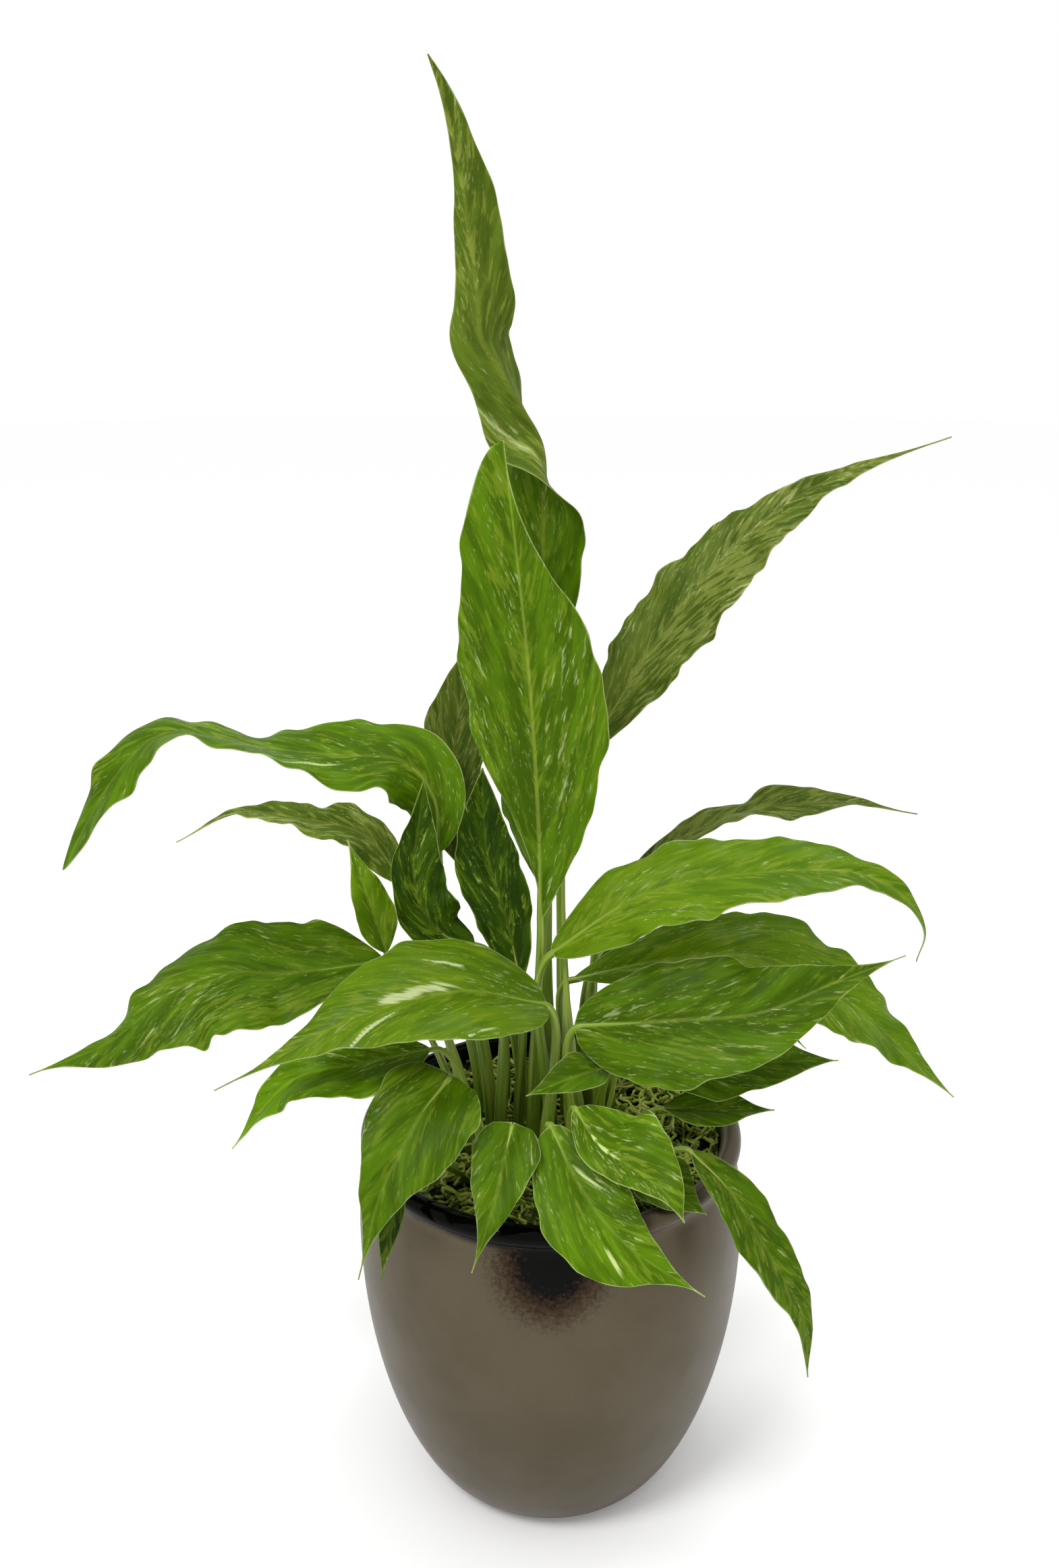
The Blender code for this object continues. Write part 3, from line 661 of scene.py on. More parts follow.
@dataclass
class PotBody:
    """The round pot: a full body on a small base, a drawn-in neck and a rolled lip.

    Attributes:
        height: The rim's height in mm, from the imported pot.
        radius: The widest radius in mm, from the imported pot.
        belly_drop: How far the widest place is below the rim.
        base_radius: The flat underside's radius.
        base_round: The round at its edge.
        neck_drop: How far the neck is below the rim.
        neck_set_in: How far the wall is drawn in at the neck.
        lip_thickness: The lip's round section.
        lip_set_in: How far the lip stays inside the widest radius.
        wall: The wall's thickness.
        floor: The height of the floor inside.
        foot_ring: The width of the ring that the pot stands on.
        foot_rise: How high the hollow under the pot goes, and the round at the ring's edge.
        lip_start: Where the lip's round starts outside, in degrees above level.
        fullness: The body curve's power; lower is fuller.
        steps: Facets round the pot.
    """

    height: float
    radius: float
    belly_drop: float = 41
    base_radius: float = 41
    base_round: float = 1.2
    neck_drop: float = 12
    neck_set_in: float = 3.0
    lip_thickness: float = 7.4
    lip_set_in: float = 1.5
    wall: float = 6
    floor: float = 6
    foot_ring: float = 7
    foot_rise: float = 1.3
    lip_start: int = -58
    fullness: float = 0.68
    steps: int = 192

    def outer(self, level: float) -> float:
        """Works out the wall's outer radius.

        Args:
            level: The height in mm.

        Returns:
            The radius in mm.
        """
        belly = self.height - self.belly_drop
        if level <= belly:
            rise = 1 - (1 - level / belly) ** 2
            return self.base_radius + (self.radius - self.base_radius) * rise**self.fullness
        share = min(1.0, (level - belly) / (self.height - self.neck_drop - belly))
        return self.radius - self.neck_set_in * share**2

    def inner(self, level: float) -> float:
        """Gives the wall's inner radius in mm at a height in mm."""
        return self.outer(level) - self.wall

    def profile(self) -> np.ndarray:
        """Draws the section from beside the axis underneath, out, up, over the lip and down to the inside floor.

        Returns:
            The section's points as radius and height in mm.
        """
        neck, lip = self.height - self.neck_drop, self.lip_thickness / 2
        centre_r, centre_z = self.radius - self.lip_set_in - lip, self.height - lip
        foot_inner, rise = self.base_radius - self.foot_ring, self.foot_rise
        points = [(foot_inner - 2.5, rise), (foot_inner - 1.2, 1.1), (foot_inner - 0.3, 0.4)]
        points += [(foot_inner + 0.6, 0.02)]
        points += [(self.base_radius - self.base_round - 0.1, 0.0)]
        start = self.outer(rise)
        for degrees in (30, 60, 90):
            angle = math.radians(degrees)
            points.append((self.base_radius - self.base_round + (start - self.base_radius + self.base_round)
                           * math.sin(angle), rise * (1 - math.cos(angle))))
        points += [(self.outer(z), z) for z in np.geomspace(2.2, 30, 16)]
        points += [(self.outer(z), z) for z in np.linspace(33, neck - 1.5, 34)]
        join = np.array((self.outer(neck), neck))
        start_angle = math.radians(self.lip_start)
        start_lip = np.array((centre_r + lip * math.cos(start_angle), centre_z + lip * math.sin(start_angle)))
        points += [tuple(join * (1 - share) + start_lip * share - np.array((0.35 * math.sin(math.pi * share), 0)))
                   for share in (0, 0.3, 0.6, 0.85)]
        for degrees in range(self.lip_start, 186, 9):
            angle = math.radians(degrees)
            points.append((centre_r + lip * math.cos(angle), centre_z + lip * math.sin(angle)))
        points += [(self.inner(z), z) for z in np.linspace(neck - 1, 12, 14)]
        points += [(self.inner(8), self.floor + 1), (self.inner(8) - 4, self.floor), (3, self.floor)]
        return np.array(points)

    def build(self) -> bpy.types.Object:
        """Turns the section round Z, closed at both poles.

        Returns:
            The pot.
        """
        section = self.profile()
        turns = np.linspace(0, 2 * math.pi, self.steps, endpoint=False)
        rings = np.stack([np.outer(section[:, 0], np.cos(turns)), np.outer(section[:, 0], np.sin(turns)),
                          np.repeat(section[:, 1][:, None], self.steps, axis=1)], axis=2)
        count = len(section)
        points = np.vstack([rings.reshape(-1, 3), [(0, 0, section[0, 1]), (0, 0, section[-1, 1])]])
        faces: list[tuple[int, ...]] = []
        for ring in range(count - 1):
            for step in range(self.steps):
                nxt = (step + 1) % self.steps
                faces.append((ring * self.steps + step, ring * self.steps + nxt,
                              (ring + 1) * self.steps + nxt, (ring + 1) * self.steps + step))
        under, floor = count * self.steps, count * self.steps + 1
        last = (count - 1) * self.steps
        for step in range(self.steps):
            nxt = (step + 1) % self.steps
            faces.append((under, nxt, step))
            faces.append((floor, last + step, last + nxt))
        piece = mesh_object("pot_body", points, faces)
        piece.data.materials.append(BronzeGlaze(neck=self.height - self.lip_thickness).material())
        settle(piece, ("pot",))
        return piece


@dataclass
class MossBed:
    """The moss: a lumpy dark mat with a tangle of wiry strands lying over it.

    Attributes:
        top: The mat's top in mm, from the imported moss.
        bottom: Its underside in mm.
        radius: Its radius in mm.
        lump: The lumps' height in mm.
        lump_size: The lumps' width in mm.
        strands: How many strands lie over a square centimetre.
        strand_radius: A strand's radius in mm, about that of wiry preserved moss.
        bend_radius: The radius in mm that a strand curls to.
        curl: How far in mm a strand strays from its arc.
    """

    top: float
    bottom: float
    radius: float
    lump: float = 2.2
    lump_size: float = 11
    strands: float = 7.0
    strand_radius: float = 0.6
    bend_radius: float = 8.0
    curl: float = 14.0

    def lift(self, x: float, y: float) -> float:
        """Gives the mat's height in mm over its plain top at a place in mm."""
        swell = noise.noise(Vector((x, y, 3.0)) / self.lump_size) * self.lump
        return swell + noise.noise(Vector((x, y, 9.0)) / (self.lump_size / 3)) * self.lump * 0.4 - 0.8

    def surface(self, rings: int, turns: int) -> tuple[np.ndarray, list[tuple[int, ...]]]:
        """Makes the mat's top as rings round its middle.

        Args:
            rings: How many rings.
            turns: Points on each.

        Returns:
            Its points in mm, the middle one last, and its faces.
        """
        points, faces = [], []
        for ring in range(1, rings + 1):
            reach = self.radius * ring / rings
            droop = 2.5 * float(smooth_step(reach, self.radius - 5, self.radius))
            for turn in range(turns):
                angle = 2 * math.pi * turn / turns
                x, y = reach * math.cos(angle), reach * math.sin(angle)
                points.append((x, y, self.top + self.lift(x, y) - droop))
        middle = len(points)
        points.append((0.0, 0.0, self.top + self.lift(0, 0)))
        for turn in range(turns):
            nxt = (turn + 1) % turns
            faces.append((middle, turn, nxt))
            for ring in range(rings - 1):
                a, b = ring * turns, (ring + 1) * turns
                faces.append((a + turn, b + turn, b + nxt, a + nxt))
        return np.array(points), faces

    def build_mat(self) -> bpy.types.Object:
        """Closes the lumpy top with a side wall and a flat underside.

        Returns:
            The mat.
        """
        turns, rings = 120, 34
        points, faces = self.surface(rings, turns)
        edge, count = (rings - 1) * turns, len(points)
        low = points[edge : edge + turns].copy()
        low[:, 2] = self.bottom
        points = np.vstack([points, low, [(0.0, 0.0, self.bottom)]])
        for turn in range(turns):
            nxt = (turn + 1) % turns
            faces.append((edge + turn, count + turn, count + nxt, edge + nxt))
            faces.append((count + turns, count + nxt, count + turn))
        piece = mesh_object("moss_mat", points, faces)
        piece.data.materials.append(DampMix("Matted moss and peat", "#0b0b05", "#2c3310", 2.6).material())
        settle(piece, ("moss",))
        return piece

    def strand_tree(self) -> tuple[bpy.types.NodeTree, dict[str, str]]:
        """Builds the geometry tree that lays curled strands over a surface.

        Returns:
            The tree, and each named input's socket identifier.
        """
        tree = bpy.data.node_groups.new("Curled strands", "GeometryNodeTree")
        tree.interface.new_socket("Geometry", in_out="OUTPUT", socket_type="NodeSocketGeometry")
        named = {}
        for name, kind in (("Geometry", "Geometry"), ("Density", "Float"), ("Strand radius", "Float"),
                           ("Bend radius", "Float"), ("Curl", "Float"), ("Reach", "Float"), ("Floor", "Float"),
                           ("Material", "Material")):
            named[name] = tree.interface.new_socket(name, in_out="INPUT", socket_type="NodeSocket" + kind).identifier
        given = tree.nodes.new("NodeGroupInput").outputs
        spots = add_node(tree, "GeometryNodeDistributePointsOnFaces", {},
                         {"Mesh": given["Geometry"], "Density": given["Density"], "Seed": 7})
        arc = add_node(tree, "GeometryNodeCurveArc", {"mode": "RADIUS"},
                       {"Resolution": 15, "Radius": given["Bend radius"], "Sweep Angle": math.radians(200)})
        tilt = add_node(tree, "FunctionNodeRandomValue", {"data_type": "FLOAT_VECTOR"},
                        {0: (-0.75, -0.75, -math.pi), 1: (0.75, 0.75, math.pi), "Seed": 3})
        size = add_node(tree, "FunctionNodeRandomValue", {"data_type": "FLOAT"}, {2: 0.35, 3: 1.3, "Seed": 5})
        laid = add_node(tree, "GeometryNodeInstanceOnPoints", {},
                        {"Points": spots.outputs["Points"], "Instance": arc.outputs["Curve"],
                         "Rotation": tilt.outputs[0], "Scale": size.outputs[1]})
        loose = add_node(tree, "GeometryNodeRealizeInstances", {}, {0: laid.outputs[0]})
        place = add_node(tree, "GeometryNodeInputPosition")
        wild = add_node(tree, "ShaderNodeTexNoise", {}, {"Vector": place.outputs[0], "Scale": 1 / (7 * MM),
                                                        "Detail": 2.0})
        centred = add_node(tree, "ShaderNodeVectorMath", {"operation": "SUBTRACT"},
                           {0: wild.outputs["Color"], 1: (0.5, 0.5, 0.42)})
        shift = add_node(tree, "ShaderNodeVectorMath", {"operation": "SCALE"}, {0: centred.outputs[0],
                                                                              "Scale": given["Curl"]})
        curled = add_node(tree, "ShaderNodeVectorMath", {"operation": "ADD"},
                          {0: place.outputs[0], 1: shift.outputs[0]})
        # A strand is held inside the pot's wall, and above the middle of the mat.
        parts = add_node(tree, "ShaderNodeSeparateXYZ", {}, {0: curled.outputs[0]})
        flat = add_node(tree, "ShaderNodeCombineXYZ", {}, {0: parts.outputs[0], 1: parts.outputs[1]})
        out = add_node(tree, "ShaderNodeVectorMath", {"operation": "LENGTH"}, {0: flat.outputs[0]})
        held = add_node(tree, "ShaderNodeMath", {"operation": "MINIMUM"},
                        {0: out.outputs["Value"], 1: given["Reach"]})
        ratio = add_node(tree, "ShaderNodeMath", {"operation": "DIVIDE"},
                         {0: held.outputs[0], 1: out.outputs["Value"]})
        drawn_in = add_node(tree, "ShaderNodeVectorMath", {"operation": "SCALE"},
                            {0: flat.outputs[0], "Scale": ratio.outputs[0]})
        inner = add_node(tree, "ShaderNodeSeparateXYZ", {}, {0: drawn_in.outputs[0]})
        raised = add_node(tree, "ShaderNodeMath", {"operation": "MAXIMUM"}, {0: parts.outputs[2], 1: given["Floor"]})
        final = add_node(tree, "ShaderNodeCombineXYZ", {}, {0: inner.outputs[0], 1: inner.outputs[1],
                                                          2: raised.outputs[0]})
        moved = add_node(tree, "GeometryNodeSetPosition", {}, {"Geometry": loose.outputs[0],
                                                              "Position": final.outputs[0]})
        girth = add_node(tree, "ShaderNodeMapRange", {}, {0: wild.outputs[0], 1: 0.3, 2: 0.7, 3: 0.6, 4: 1.35})
        shaped = add_node(tree, "GeometryNodeSetCurveRadius", {}, {"Curve": moved.outputs[0],
                                                                  "Radius": girth.outputs[0]})
        ring = add_node(tree, "GeometryNodeCurvePrimitiveCircle", {"mode": "RADIUS"},
                        {"Resolution": 5, "Radius": given["Strand radius"]})
        skin = add_node(tree, "GeometryNodeCurveToMesh", {}, {"Curve": shaped.outputs[0],
                                                             "Profile Curve": ring.outputs["Curve"],
                                                             "Fill Caps": True})
        smooth = add_node(tree, "GeometryNodeSetShadeSmooth", {}, {0: skin.outputs[0]})
        solid = add_node(tree, "GeometryNodeRealizeInstances", {}, {0: smooth.outputs[0]})
        dressed = add_node(tree, "GeometryNodeSetMaterial", {}, {"Geometry": solid.outputs[0],
                                                                "Material": given["Material"]})
        add_node(tree, "NodeGroupOutput", {}, {0: dressed.outputs[0]})
        return tree, named

    def build_strands(self) -> bpy.types.Object:
        """Lays the strands over the mat and turns them into a plain mesh.

        Returns:
            The strands.
        """
        points, faces = self.surface(16, 60)
        bed = mesh_object("moss_strand_bed", points, faces)
        tree, named = self.strand_tree()
        lay = bed.modifiers.new("Strands", "NODES")
        lay.node_group = tree
        sizes = {"Density": self.strands * 1e4, "Strand radius": self.strand_radius * MM,
                 "Bend radius": self.bend_radius * MM, "Curl": self.curl * MM, "Reach": (self.radius - 1.6) * MM,
                 "Floor": (self.top - 1.5) * MM}
        for name, value in sizes.items():
            lay[named[name]] = value
        lay[named["Material"]] = MossStrand().material()
        graph = bpy.context.evaluated_depsgraph_get()
        mesh = bpy.data.meshes.new_from_object(bed.evaluated_get(graph), depsgraph=graph)
        mesh.name = "moss_strands"
        piece = bpy.data.objects.new("moss_strands", mesh)
        bpy.context.scene.collection.objects.link(piece)
        bpy.data.objects.remove(bed, do_unlink=True)
        settle(piece)
        return piece


# The plant


@dataclass(frozen=True)
class Blaze:
    """One large cream mark on a blade.

    Attributes:
        share: Its middle along the blade, from the collar at 0 to the tip at 1.
        across: Its middle across, from the left margin at -1 to the right one at 1.
        long: Its half length in mm, along the veins.
        wide: Its half width in mm.
        strength: How strongly it shows.
    """

    share: float
    across: float
    long: float
    wide: float
    strength: float = 1.0


@dataclass(frozen=True)
class LeafPlan:
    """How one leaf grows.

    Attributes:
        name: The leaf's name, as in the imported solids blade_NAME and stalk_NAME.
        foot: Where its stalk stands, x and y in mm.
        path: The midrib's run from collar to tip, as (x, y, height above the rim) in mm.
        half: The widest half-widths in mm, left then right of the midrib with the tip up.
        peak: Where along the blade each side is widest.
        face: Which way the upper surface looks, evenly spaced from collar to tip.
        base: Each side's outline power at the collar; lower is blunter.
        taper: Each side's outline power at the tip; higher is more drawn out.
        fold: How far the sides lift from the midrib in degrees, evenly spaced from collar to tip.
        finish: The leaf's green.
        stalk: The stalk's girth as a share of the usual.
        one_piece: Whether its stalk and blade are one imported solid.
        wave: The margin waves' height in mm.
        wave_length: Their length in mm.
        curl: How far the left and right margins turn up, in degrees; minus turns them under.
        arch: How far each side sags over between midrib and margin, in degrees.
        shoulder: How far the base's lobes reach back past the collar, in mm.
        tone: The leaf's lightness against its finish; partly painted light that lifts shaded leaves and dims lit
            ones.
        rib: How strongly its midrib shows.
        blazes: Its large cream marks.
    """

    name: str
    foot: tuple[float, float]
    path: tuple[Place, ...]
    half: tuple[float, float]
    peak: tuple[float, float]
    face: tuple[Place, ...]
    base: tuple[float, float] = (0.8, 0.8)
    taper: tuple[float, float] = (1.5, 1.5)
    fold: tuple[float, ...] = (18,)
    finish: LeafFinish = LeafFinish.GREEN
    stalk: float = 1.0
    one_piece: bool = False
    wave: float = 1.3
    wave_length: float = 30
    curl: tuple[float, float] = (0, 0)
    arch: float = 16
    shoulder: float = 0
    tone: float = 1.0
    rib: float = 0.12
    blazes: tuple[Blaze, ...] = ()


# A leaf's lightness is partly painted light: leaves lying in shade are lifted and well lit ones dimmed.
LEAVES = (
    LeafPlan("tall_back", (-3, 15), ((-1, 20, 167), (-3, 22, 198), (-3, 20, 224), (-4, 16, 241), (-11, 12, 254),
             (-18, 9, 266), (-23, 8, 275), (-24, 7, 289), (-26, 4, 305), (-28, 1, 320), (-32, -2, 338),
             (-37, -6, 353)), (15, 16), (0.42, 0.3), ((0, -1, 0.2), (0.1, -1, 0.2), (0, -1, 0.2), (-0.6, -1, 0),
             (-1, 0.1, 0), (-0.6, 1, 0), (-0.1, 1, 0), (0.1, 1, 0), (0.2, 1, 0), (0.2, 1, 0), (0.2, 1, 0)),
             base=(0.6, 0.6), taper=(0.8, 1.8), fold=(20, 22, 50, 24, 18), wave=1.1, wave_length=46, tone=1.1,
             blazes=(Blaze(0.45, 0.7, 25, 4, 0.6),)),
    LeafPlan("tall_front", (-7, -3), ((-4, -8, 82), (-5, -12, 124), (-8, -14, 172), (-12, -12, 211), (-16, -8, 245)),
             (22, 25.5), (0.55, 0.5), ((0, -1, 0.1), (0, -1, 0.3), (0.1, -1, 0.4)), base=(2.2, 1), taper=(0.5, 2.7),
             fold=(12,), wave=1.2, wave_length=52, curl=(-10, 42), arch=18, tone=1.16, rib=0.3),
    LeafPlan("right_upswept", (7, 12), ((12, 18, 135), (40, 24, 180), (66, 28, 210), (94, 30, 229), (134, 30, 243)),
             (14, 17), (0.3, 0.36), ((-0.4, -0.8, 0.6), (-0.4, -0.8, 0.6), (-0.3, -0.8, 0.6)), taper=(2.3, 2.1),
             fold=(12,), finish=LeafFinish.GREY, wave=1.5, wave_length=26),
    LeafPlan("rear_upright", (-10, 18), ((-29, 24, 86), (-36, 28, 114), (-34, 31, 141), (-27, 35, 178)), (13, 13),
             (0.5, 0.5), ((-0.3, -1, 0.3), (-0.4, -1, 0.4)), finish=LeafFinish.GREY, tone=0.9),
    LeafPlan("left_arching", (-22, 6), ((-40, 8, 102), (-41, 8, 122), (-52, 8, 136), (-74, 8, 138), (-97, 6, 141),
             (-113, 4, 145), (-133, 2, 147), (-150, -2, 131), (-168, -6, 101)), (16, 15), (0.3, 0.25),
             ((-0.3, -0.9, 0.3), (-0.2, -0.9, 0.5), (-0.1, -0.7, 0.8), (-0.1, -0.55, 0.9), (0, -0.3, 1), (0, 0.1, 1),
             (-0.1, 0.2, 1), (-0.3, -0.5, 0.8), (-0.6, -0.7, 0.4), (-0.7, -0.7, 0.3), (-0.7, -0.6, 0.3)),
             base=(0.5, 0.6), taper=(0.65, 0.65), fold=(8,), wave=1.6, wave_length=40, tone=1.2,
             blazes=(Blaze(0.42, -0.75, 20, 2.2, 0.55),)),
    LeafPlan("left_slender", (-26, 14), ((-54, 24, 83), (-68, 26, 102), (-93, 30, 107), (-116, 33, 108),
             (-139, 34, 96)), (12, 9), (0.3, 0.3), ((-0.2, -0.6, 1), (-0.3, -0.2, 1), (-0.5, 0, 1)), taper=(1.8, 1.8),
             finish=LeafFinish.GREY, stalk=0.8, wave_length=24, tone=1.75),
    LeafPlan("left_young", (-33, 2), ((-59, 4, 65), (-64, 2, 85), (-71, 2, 109)), (8, 8), (0.35, 0.35),
             ((0.6, -1, 0.3), (0.6, -1, 0.3)), finish=LeafFinish.BRIGHT, stalk=0.7, wave=0.8, tone=1.25),
    LeafPlan("left_curled", (-19, -3), ((-27, 1, 70), (-38, 0, 74), (-46, -2, 86), (-48, -1, 101), (-46, 1, 116),
             (-44, 3, 131)), (10, 12), (0.35, 0.35), ((0, -0.7, 0.9), (0.2, -1, 0.5), (0.3, -1, 0.2), (0.4, -1, 0.2)),
             base=(0.6, 0.6), taper=(1.1, 1.1), finish=LeafFinish.DARK, wave=2, curl=(30, 20), tone=1.65),
    LeafPlan("centre_upright", (-12, 3), ((-11, 0, 55), (-16, 3, 79), (-23, 6, 105), (-24, 6, 134)), (13, 11),
             (0.55, 0.5), ((0.1, -1, 0.2), (0.2, -1, 0.2)), base=(0.65, 0.7), taper=(1, 1), finish=LeafFinish.DARK,
             curl=(20, 20), tone=1.65),
    LeafPlan("right_rear", (16, 13), ((29, 22, 90), (48, 26, 101), (70, 28, 110), (104, 28, 114), (133, 26, 110)),
             (8, 9), (0.5, 0.45), ((-0.3, -0.5, 1), (-0.3, -0.5, 1), (-0.2, -0.5, 1), (0, -0.2, 1), (0.1, 0.2, 1),
             (0, -0.5, 1), (0.1, -0.6, 0.8), (0.1, -0.5, 0.9), (0.2, -0.3, 1), (0.2, -0.2, 1), (0.2, -0.2, 1)),
             taper=(2, 2), finish=LeafFinish.GREY, tone=0.8),
    LeafPlan("right_upper", (1, -8), ((1, -11, 73), (30, -14, 95), (61, -18, 104), (96, -22, 107), (115, -24, 100),
             (124, -25, 87), (122, -26, 76)), (16, 18), (0.36, 0.3), ((-0.4, -0.7, 0.8), (-0.1, -0.6, 1),
             (0.1, -0.5, 1), (0.5, -0.5, 0.8), (0.9, -0.5, -0.2)), base=(0.6, 0.6), taper=(1.6, 1.7), fold=(10,),
             finish=LeafFinish.BRIGHT, wave=1.2, wave_length=34, shoulder=2, tone=0.93),
    LeafPlan("right_long", (12, 4), ((8, 8, 53), (44, 6, 62), (78, 4, 63), (106, 1, 48), (125, -2, 32),
             (147, -4, 11)), (19, 18), (0.5, 0.55), ((-0.2, -0.7, 1), (0.2, -0.6, 1), (0.4, -0.5, 0.8)), fold=(8,),
             finish=LeafFinish.BRIGHT, wave=1.4),
    LeafPlan("right_broad", (9, -17), ((11, -24, 51), (38, -34, 58), (68, -38, 63), (92, -38, 74), (116, -34, 82)),
             (21, 23), (0.36, 0.28), ((-0.2, -0.9, 0.6), (-0.1, -0.8, 0.8), (-0.3, -0.9, 0.5)), base=(0.5, 0.5),
             taper=(1.9, 1.9), fold=(10,), wave=1.4, wave_length=38, arch=22, shoulder=4, rib=0.2),
    LeafPlan("right_under", (17, -11), ((26, -22, 37), (60, -28, 39), (97, -32, 42)), (15, 15), (0.4, 0.4),
             ((0, -0.6, 1), (0, -0.8, 0.8)), tone=1.1),
    LeafPlan("right_low", (24, -19), ((38, -34, 25), (56, -34, 24), (76, -34, 24)), (8, 9), (0.4, 0.35),
             ((0, -0.4, 1), (0.3, -0.3, 1)), one_piece=True, wave=0.8),
    LeafPlan("left_broad", (-29, -8), ((-59, -2, 65), (-90, -12, 65), (-110, -20, 69), (-128, -26, 65),
             (-149, -34, 50), (-175, -40, 41)), (25, 22), (0.5, 0.25), ((-0.3, -0.7, 0.9), (-0.3, -0.6, 1),
             (-0.4, -0.5, 1)), taper=(2, 1.7), fold=(14, 10, -4, -8, 0), wave=1.8, wave_length=34, arch=20),
    LeafPlan("centre_left", (-3, -20), ((-4, -19, 57), (-31, -34, 69), (-64, -42, 64), (-88, -48, 53),
             (-111, -50, 41)), (21, 22), (0.3, 0.36), ((0, -0.6, 1), (-0.1, -0.5, 1), (-0.3, -0.5, 0.9)),
             base=(0.45, 0.42), taper=(2.2, 3), fold=(12,), finish=LeafFinish.BRIGHT, wave=1.2, wave_length=44,
             arch=24, shoulder=3, tone=0.88, blazes=(Blaze(0.42, 0.1, 18, 2.6, 0.72), Blaze(0.3, 0.5, 8, 1.4, 0.6),
             Blaze(0.27, -0.86, 9, 1.6, 0.75), Blaze(0.55, -0.55, 12, 1.6, 0.7))),
    LeafPlan("left_under", (-26, -17), ((-42, -22, 41), (-64, -30, 40), (-89, -34, 35), (-110, -36, 10)), (16, 12),
             (0.3, 0.35), ((-0.2, -0.7, 1), (-0.3, -0.5, 1), (-0.8, -0.5, 0.6)), stalk=0.8, tone=1.7),
    LeafPlan("front_left", (-22, -31), ((-36, -46, 41), (-44, -58, 35), (-55, -72, 17), (-62, -82, -8)), (19, 17),
             (0.16, 0.14), ((-0.2, -0.9, 0.9), (-0.1, -1, 0.5), (-0.2, -1, 0.2)), base=(0.35, 0.3), taper=(2.1, 2.1),
             fold=(10,), wave=0.9, shoulder=5),
    LeafPlan("front_small", (-11, -37), ((-14, -52, 27), (-16, -62, 23), (-20, -76, 12), (-26, -84, -4)), (11, 11),
             (0.16, 0.2), ((0, -1, 0.8), (0, -1, 0.5), (0, -1, 0.3)), base=(0.35, 0.35), taper=(2, 2), fold=(10,),
             stalk=0.8, wave=0.5, shoulder=4),
    LeafPlan("front_right", (-1, -37), ((0, -51, 27), (9, -67, 15), (23, -81, 4), (47, -89, -9)), (12, 18),
             (0.42, 0.46), ((0, -1, 0.9), (0.1, -1, 0.6), (0.2, -1, 0.4)), base=(0.55, 0.55), taper=(2, 2.3),
             fold=(10,), wave=0.7, shoulder=2, tone=1.42, blazes=(Blaze(0.3, -0.35, 12, 1.6, 0.55),
             Blaze(0.62, 0.5, 6, 1.6, 0.5))),
    LeafPlan("front_right_upper", (7, -31), ((8, -48, 32), (15, -62, 28), (26, -73, 26), (35, -82, 23),
             (40, -86, 16)), (18, 8), (0.42, 0.4), ((0, -0.8, 1), (0.3, -0.9, 0.7), (0.5, -0.9, 0.3)),
             base=(0.6, 0.6), taper=(1.3, 1.3), fold=(10,), stalk=0.8, wave=0.6, shoulder=2, tone=1.3,
             blazes=(Blaze(0.3, 0, 18, 1, 0.6),)),
    LeafPlan("right_hanging", (27, -29), ((47, -44, 14), (60, -50, 2), (74, -56, -20), (85, -58, -41),
             (88, -60, -65)), (9, 9), (0.35, 0.35), ((0.4, -0.8, 0.8), (0.5, -0.9, 0.4), (0.6, -0.9, 0.1)),
             base=(0.55, 0.55), taper=(1.3, 1.3), fold=(8,), stalk=0.8, wave=0.8),
    LeafPlan("right_rim", (16, -33), ((28, -40, 5), (41, -52, 2), (51, -58, -1)), (12, 10), (0.4, 0.4),
             ((0.2, -0.6, 1), (0.3, -0.6, 1)), one_piece=True, wave=0.6, tone=0.9),
    LeafPlan("centre_small", (15, -23), ((19, -29, 38), (7, -38, 39), (-9, -45, 36)), (8, 8), (0.35, 0.35),
             ((0, -0.5, 1), (0, -0.5, 1)), one_piece=True, wave=0.4),
    LeafPlan("front_left_sliver", (-30, -24), ((-49, -52, 11), (-54, -60, -5), (-57, -64, -22)), (4, 4), (0.4, 0.4),
             ((-0.4, -1, 0.3), (-0.4, -1, 0.3)), finish=LeafFinish.DARK, one_piece=True, wave=0.3),
    LeafPlan("back_right", (12, 25), ((17, 28, 50), (36, 62, 58), (58, 94, 45), (80, 120, 15)), (17, 17),
             (0.38, 0.38), ((0, 0.2, 1), (0.2, 0.4, 1), (0.3, 0.6, 0.7)), shoulder=2),
    LeafPlan("back_middle", (0, 26), ((-2, 34, 77), (-4, 76, 98), (-4, 120, 79), (-2, 150, 42)), (17, 18),
             (0.4, 0.38), ((0, -0.3, 1), (0, 0.3, 1), (0, 0.8, 0.6))),
    LeafPlan("back_left", (-18, 26), ((-20, 28, 33), (-44, 58, 31), (-68, 86, 15), (-92, 108, -10)), (15, 15),
             (0.36, 0.38), ((-0.1, 0.2, 1), (-0.3, 0.4, 1), (-0.4, 0.6, 0.7)), stalk=0.8, shoulder=2),
    LeafPlan("back_right_low", (24, 20), ((25, 24, 27), (52, 48, 31), (84, 70, 13), (112, 88, -20)), (15, 15),
             (0.36, 0.38), ((0, 0.2, 1), (0.3, 0.4, 1), (0.5, 0.6, 0.7)), stalk=0.8, shoulder=2),
)


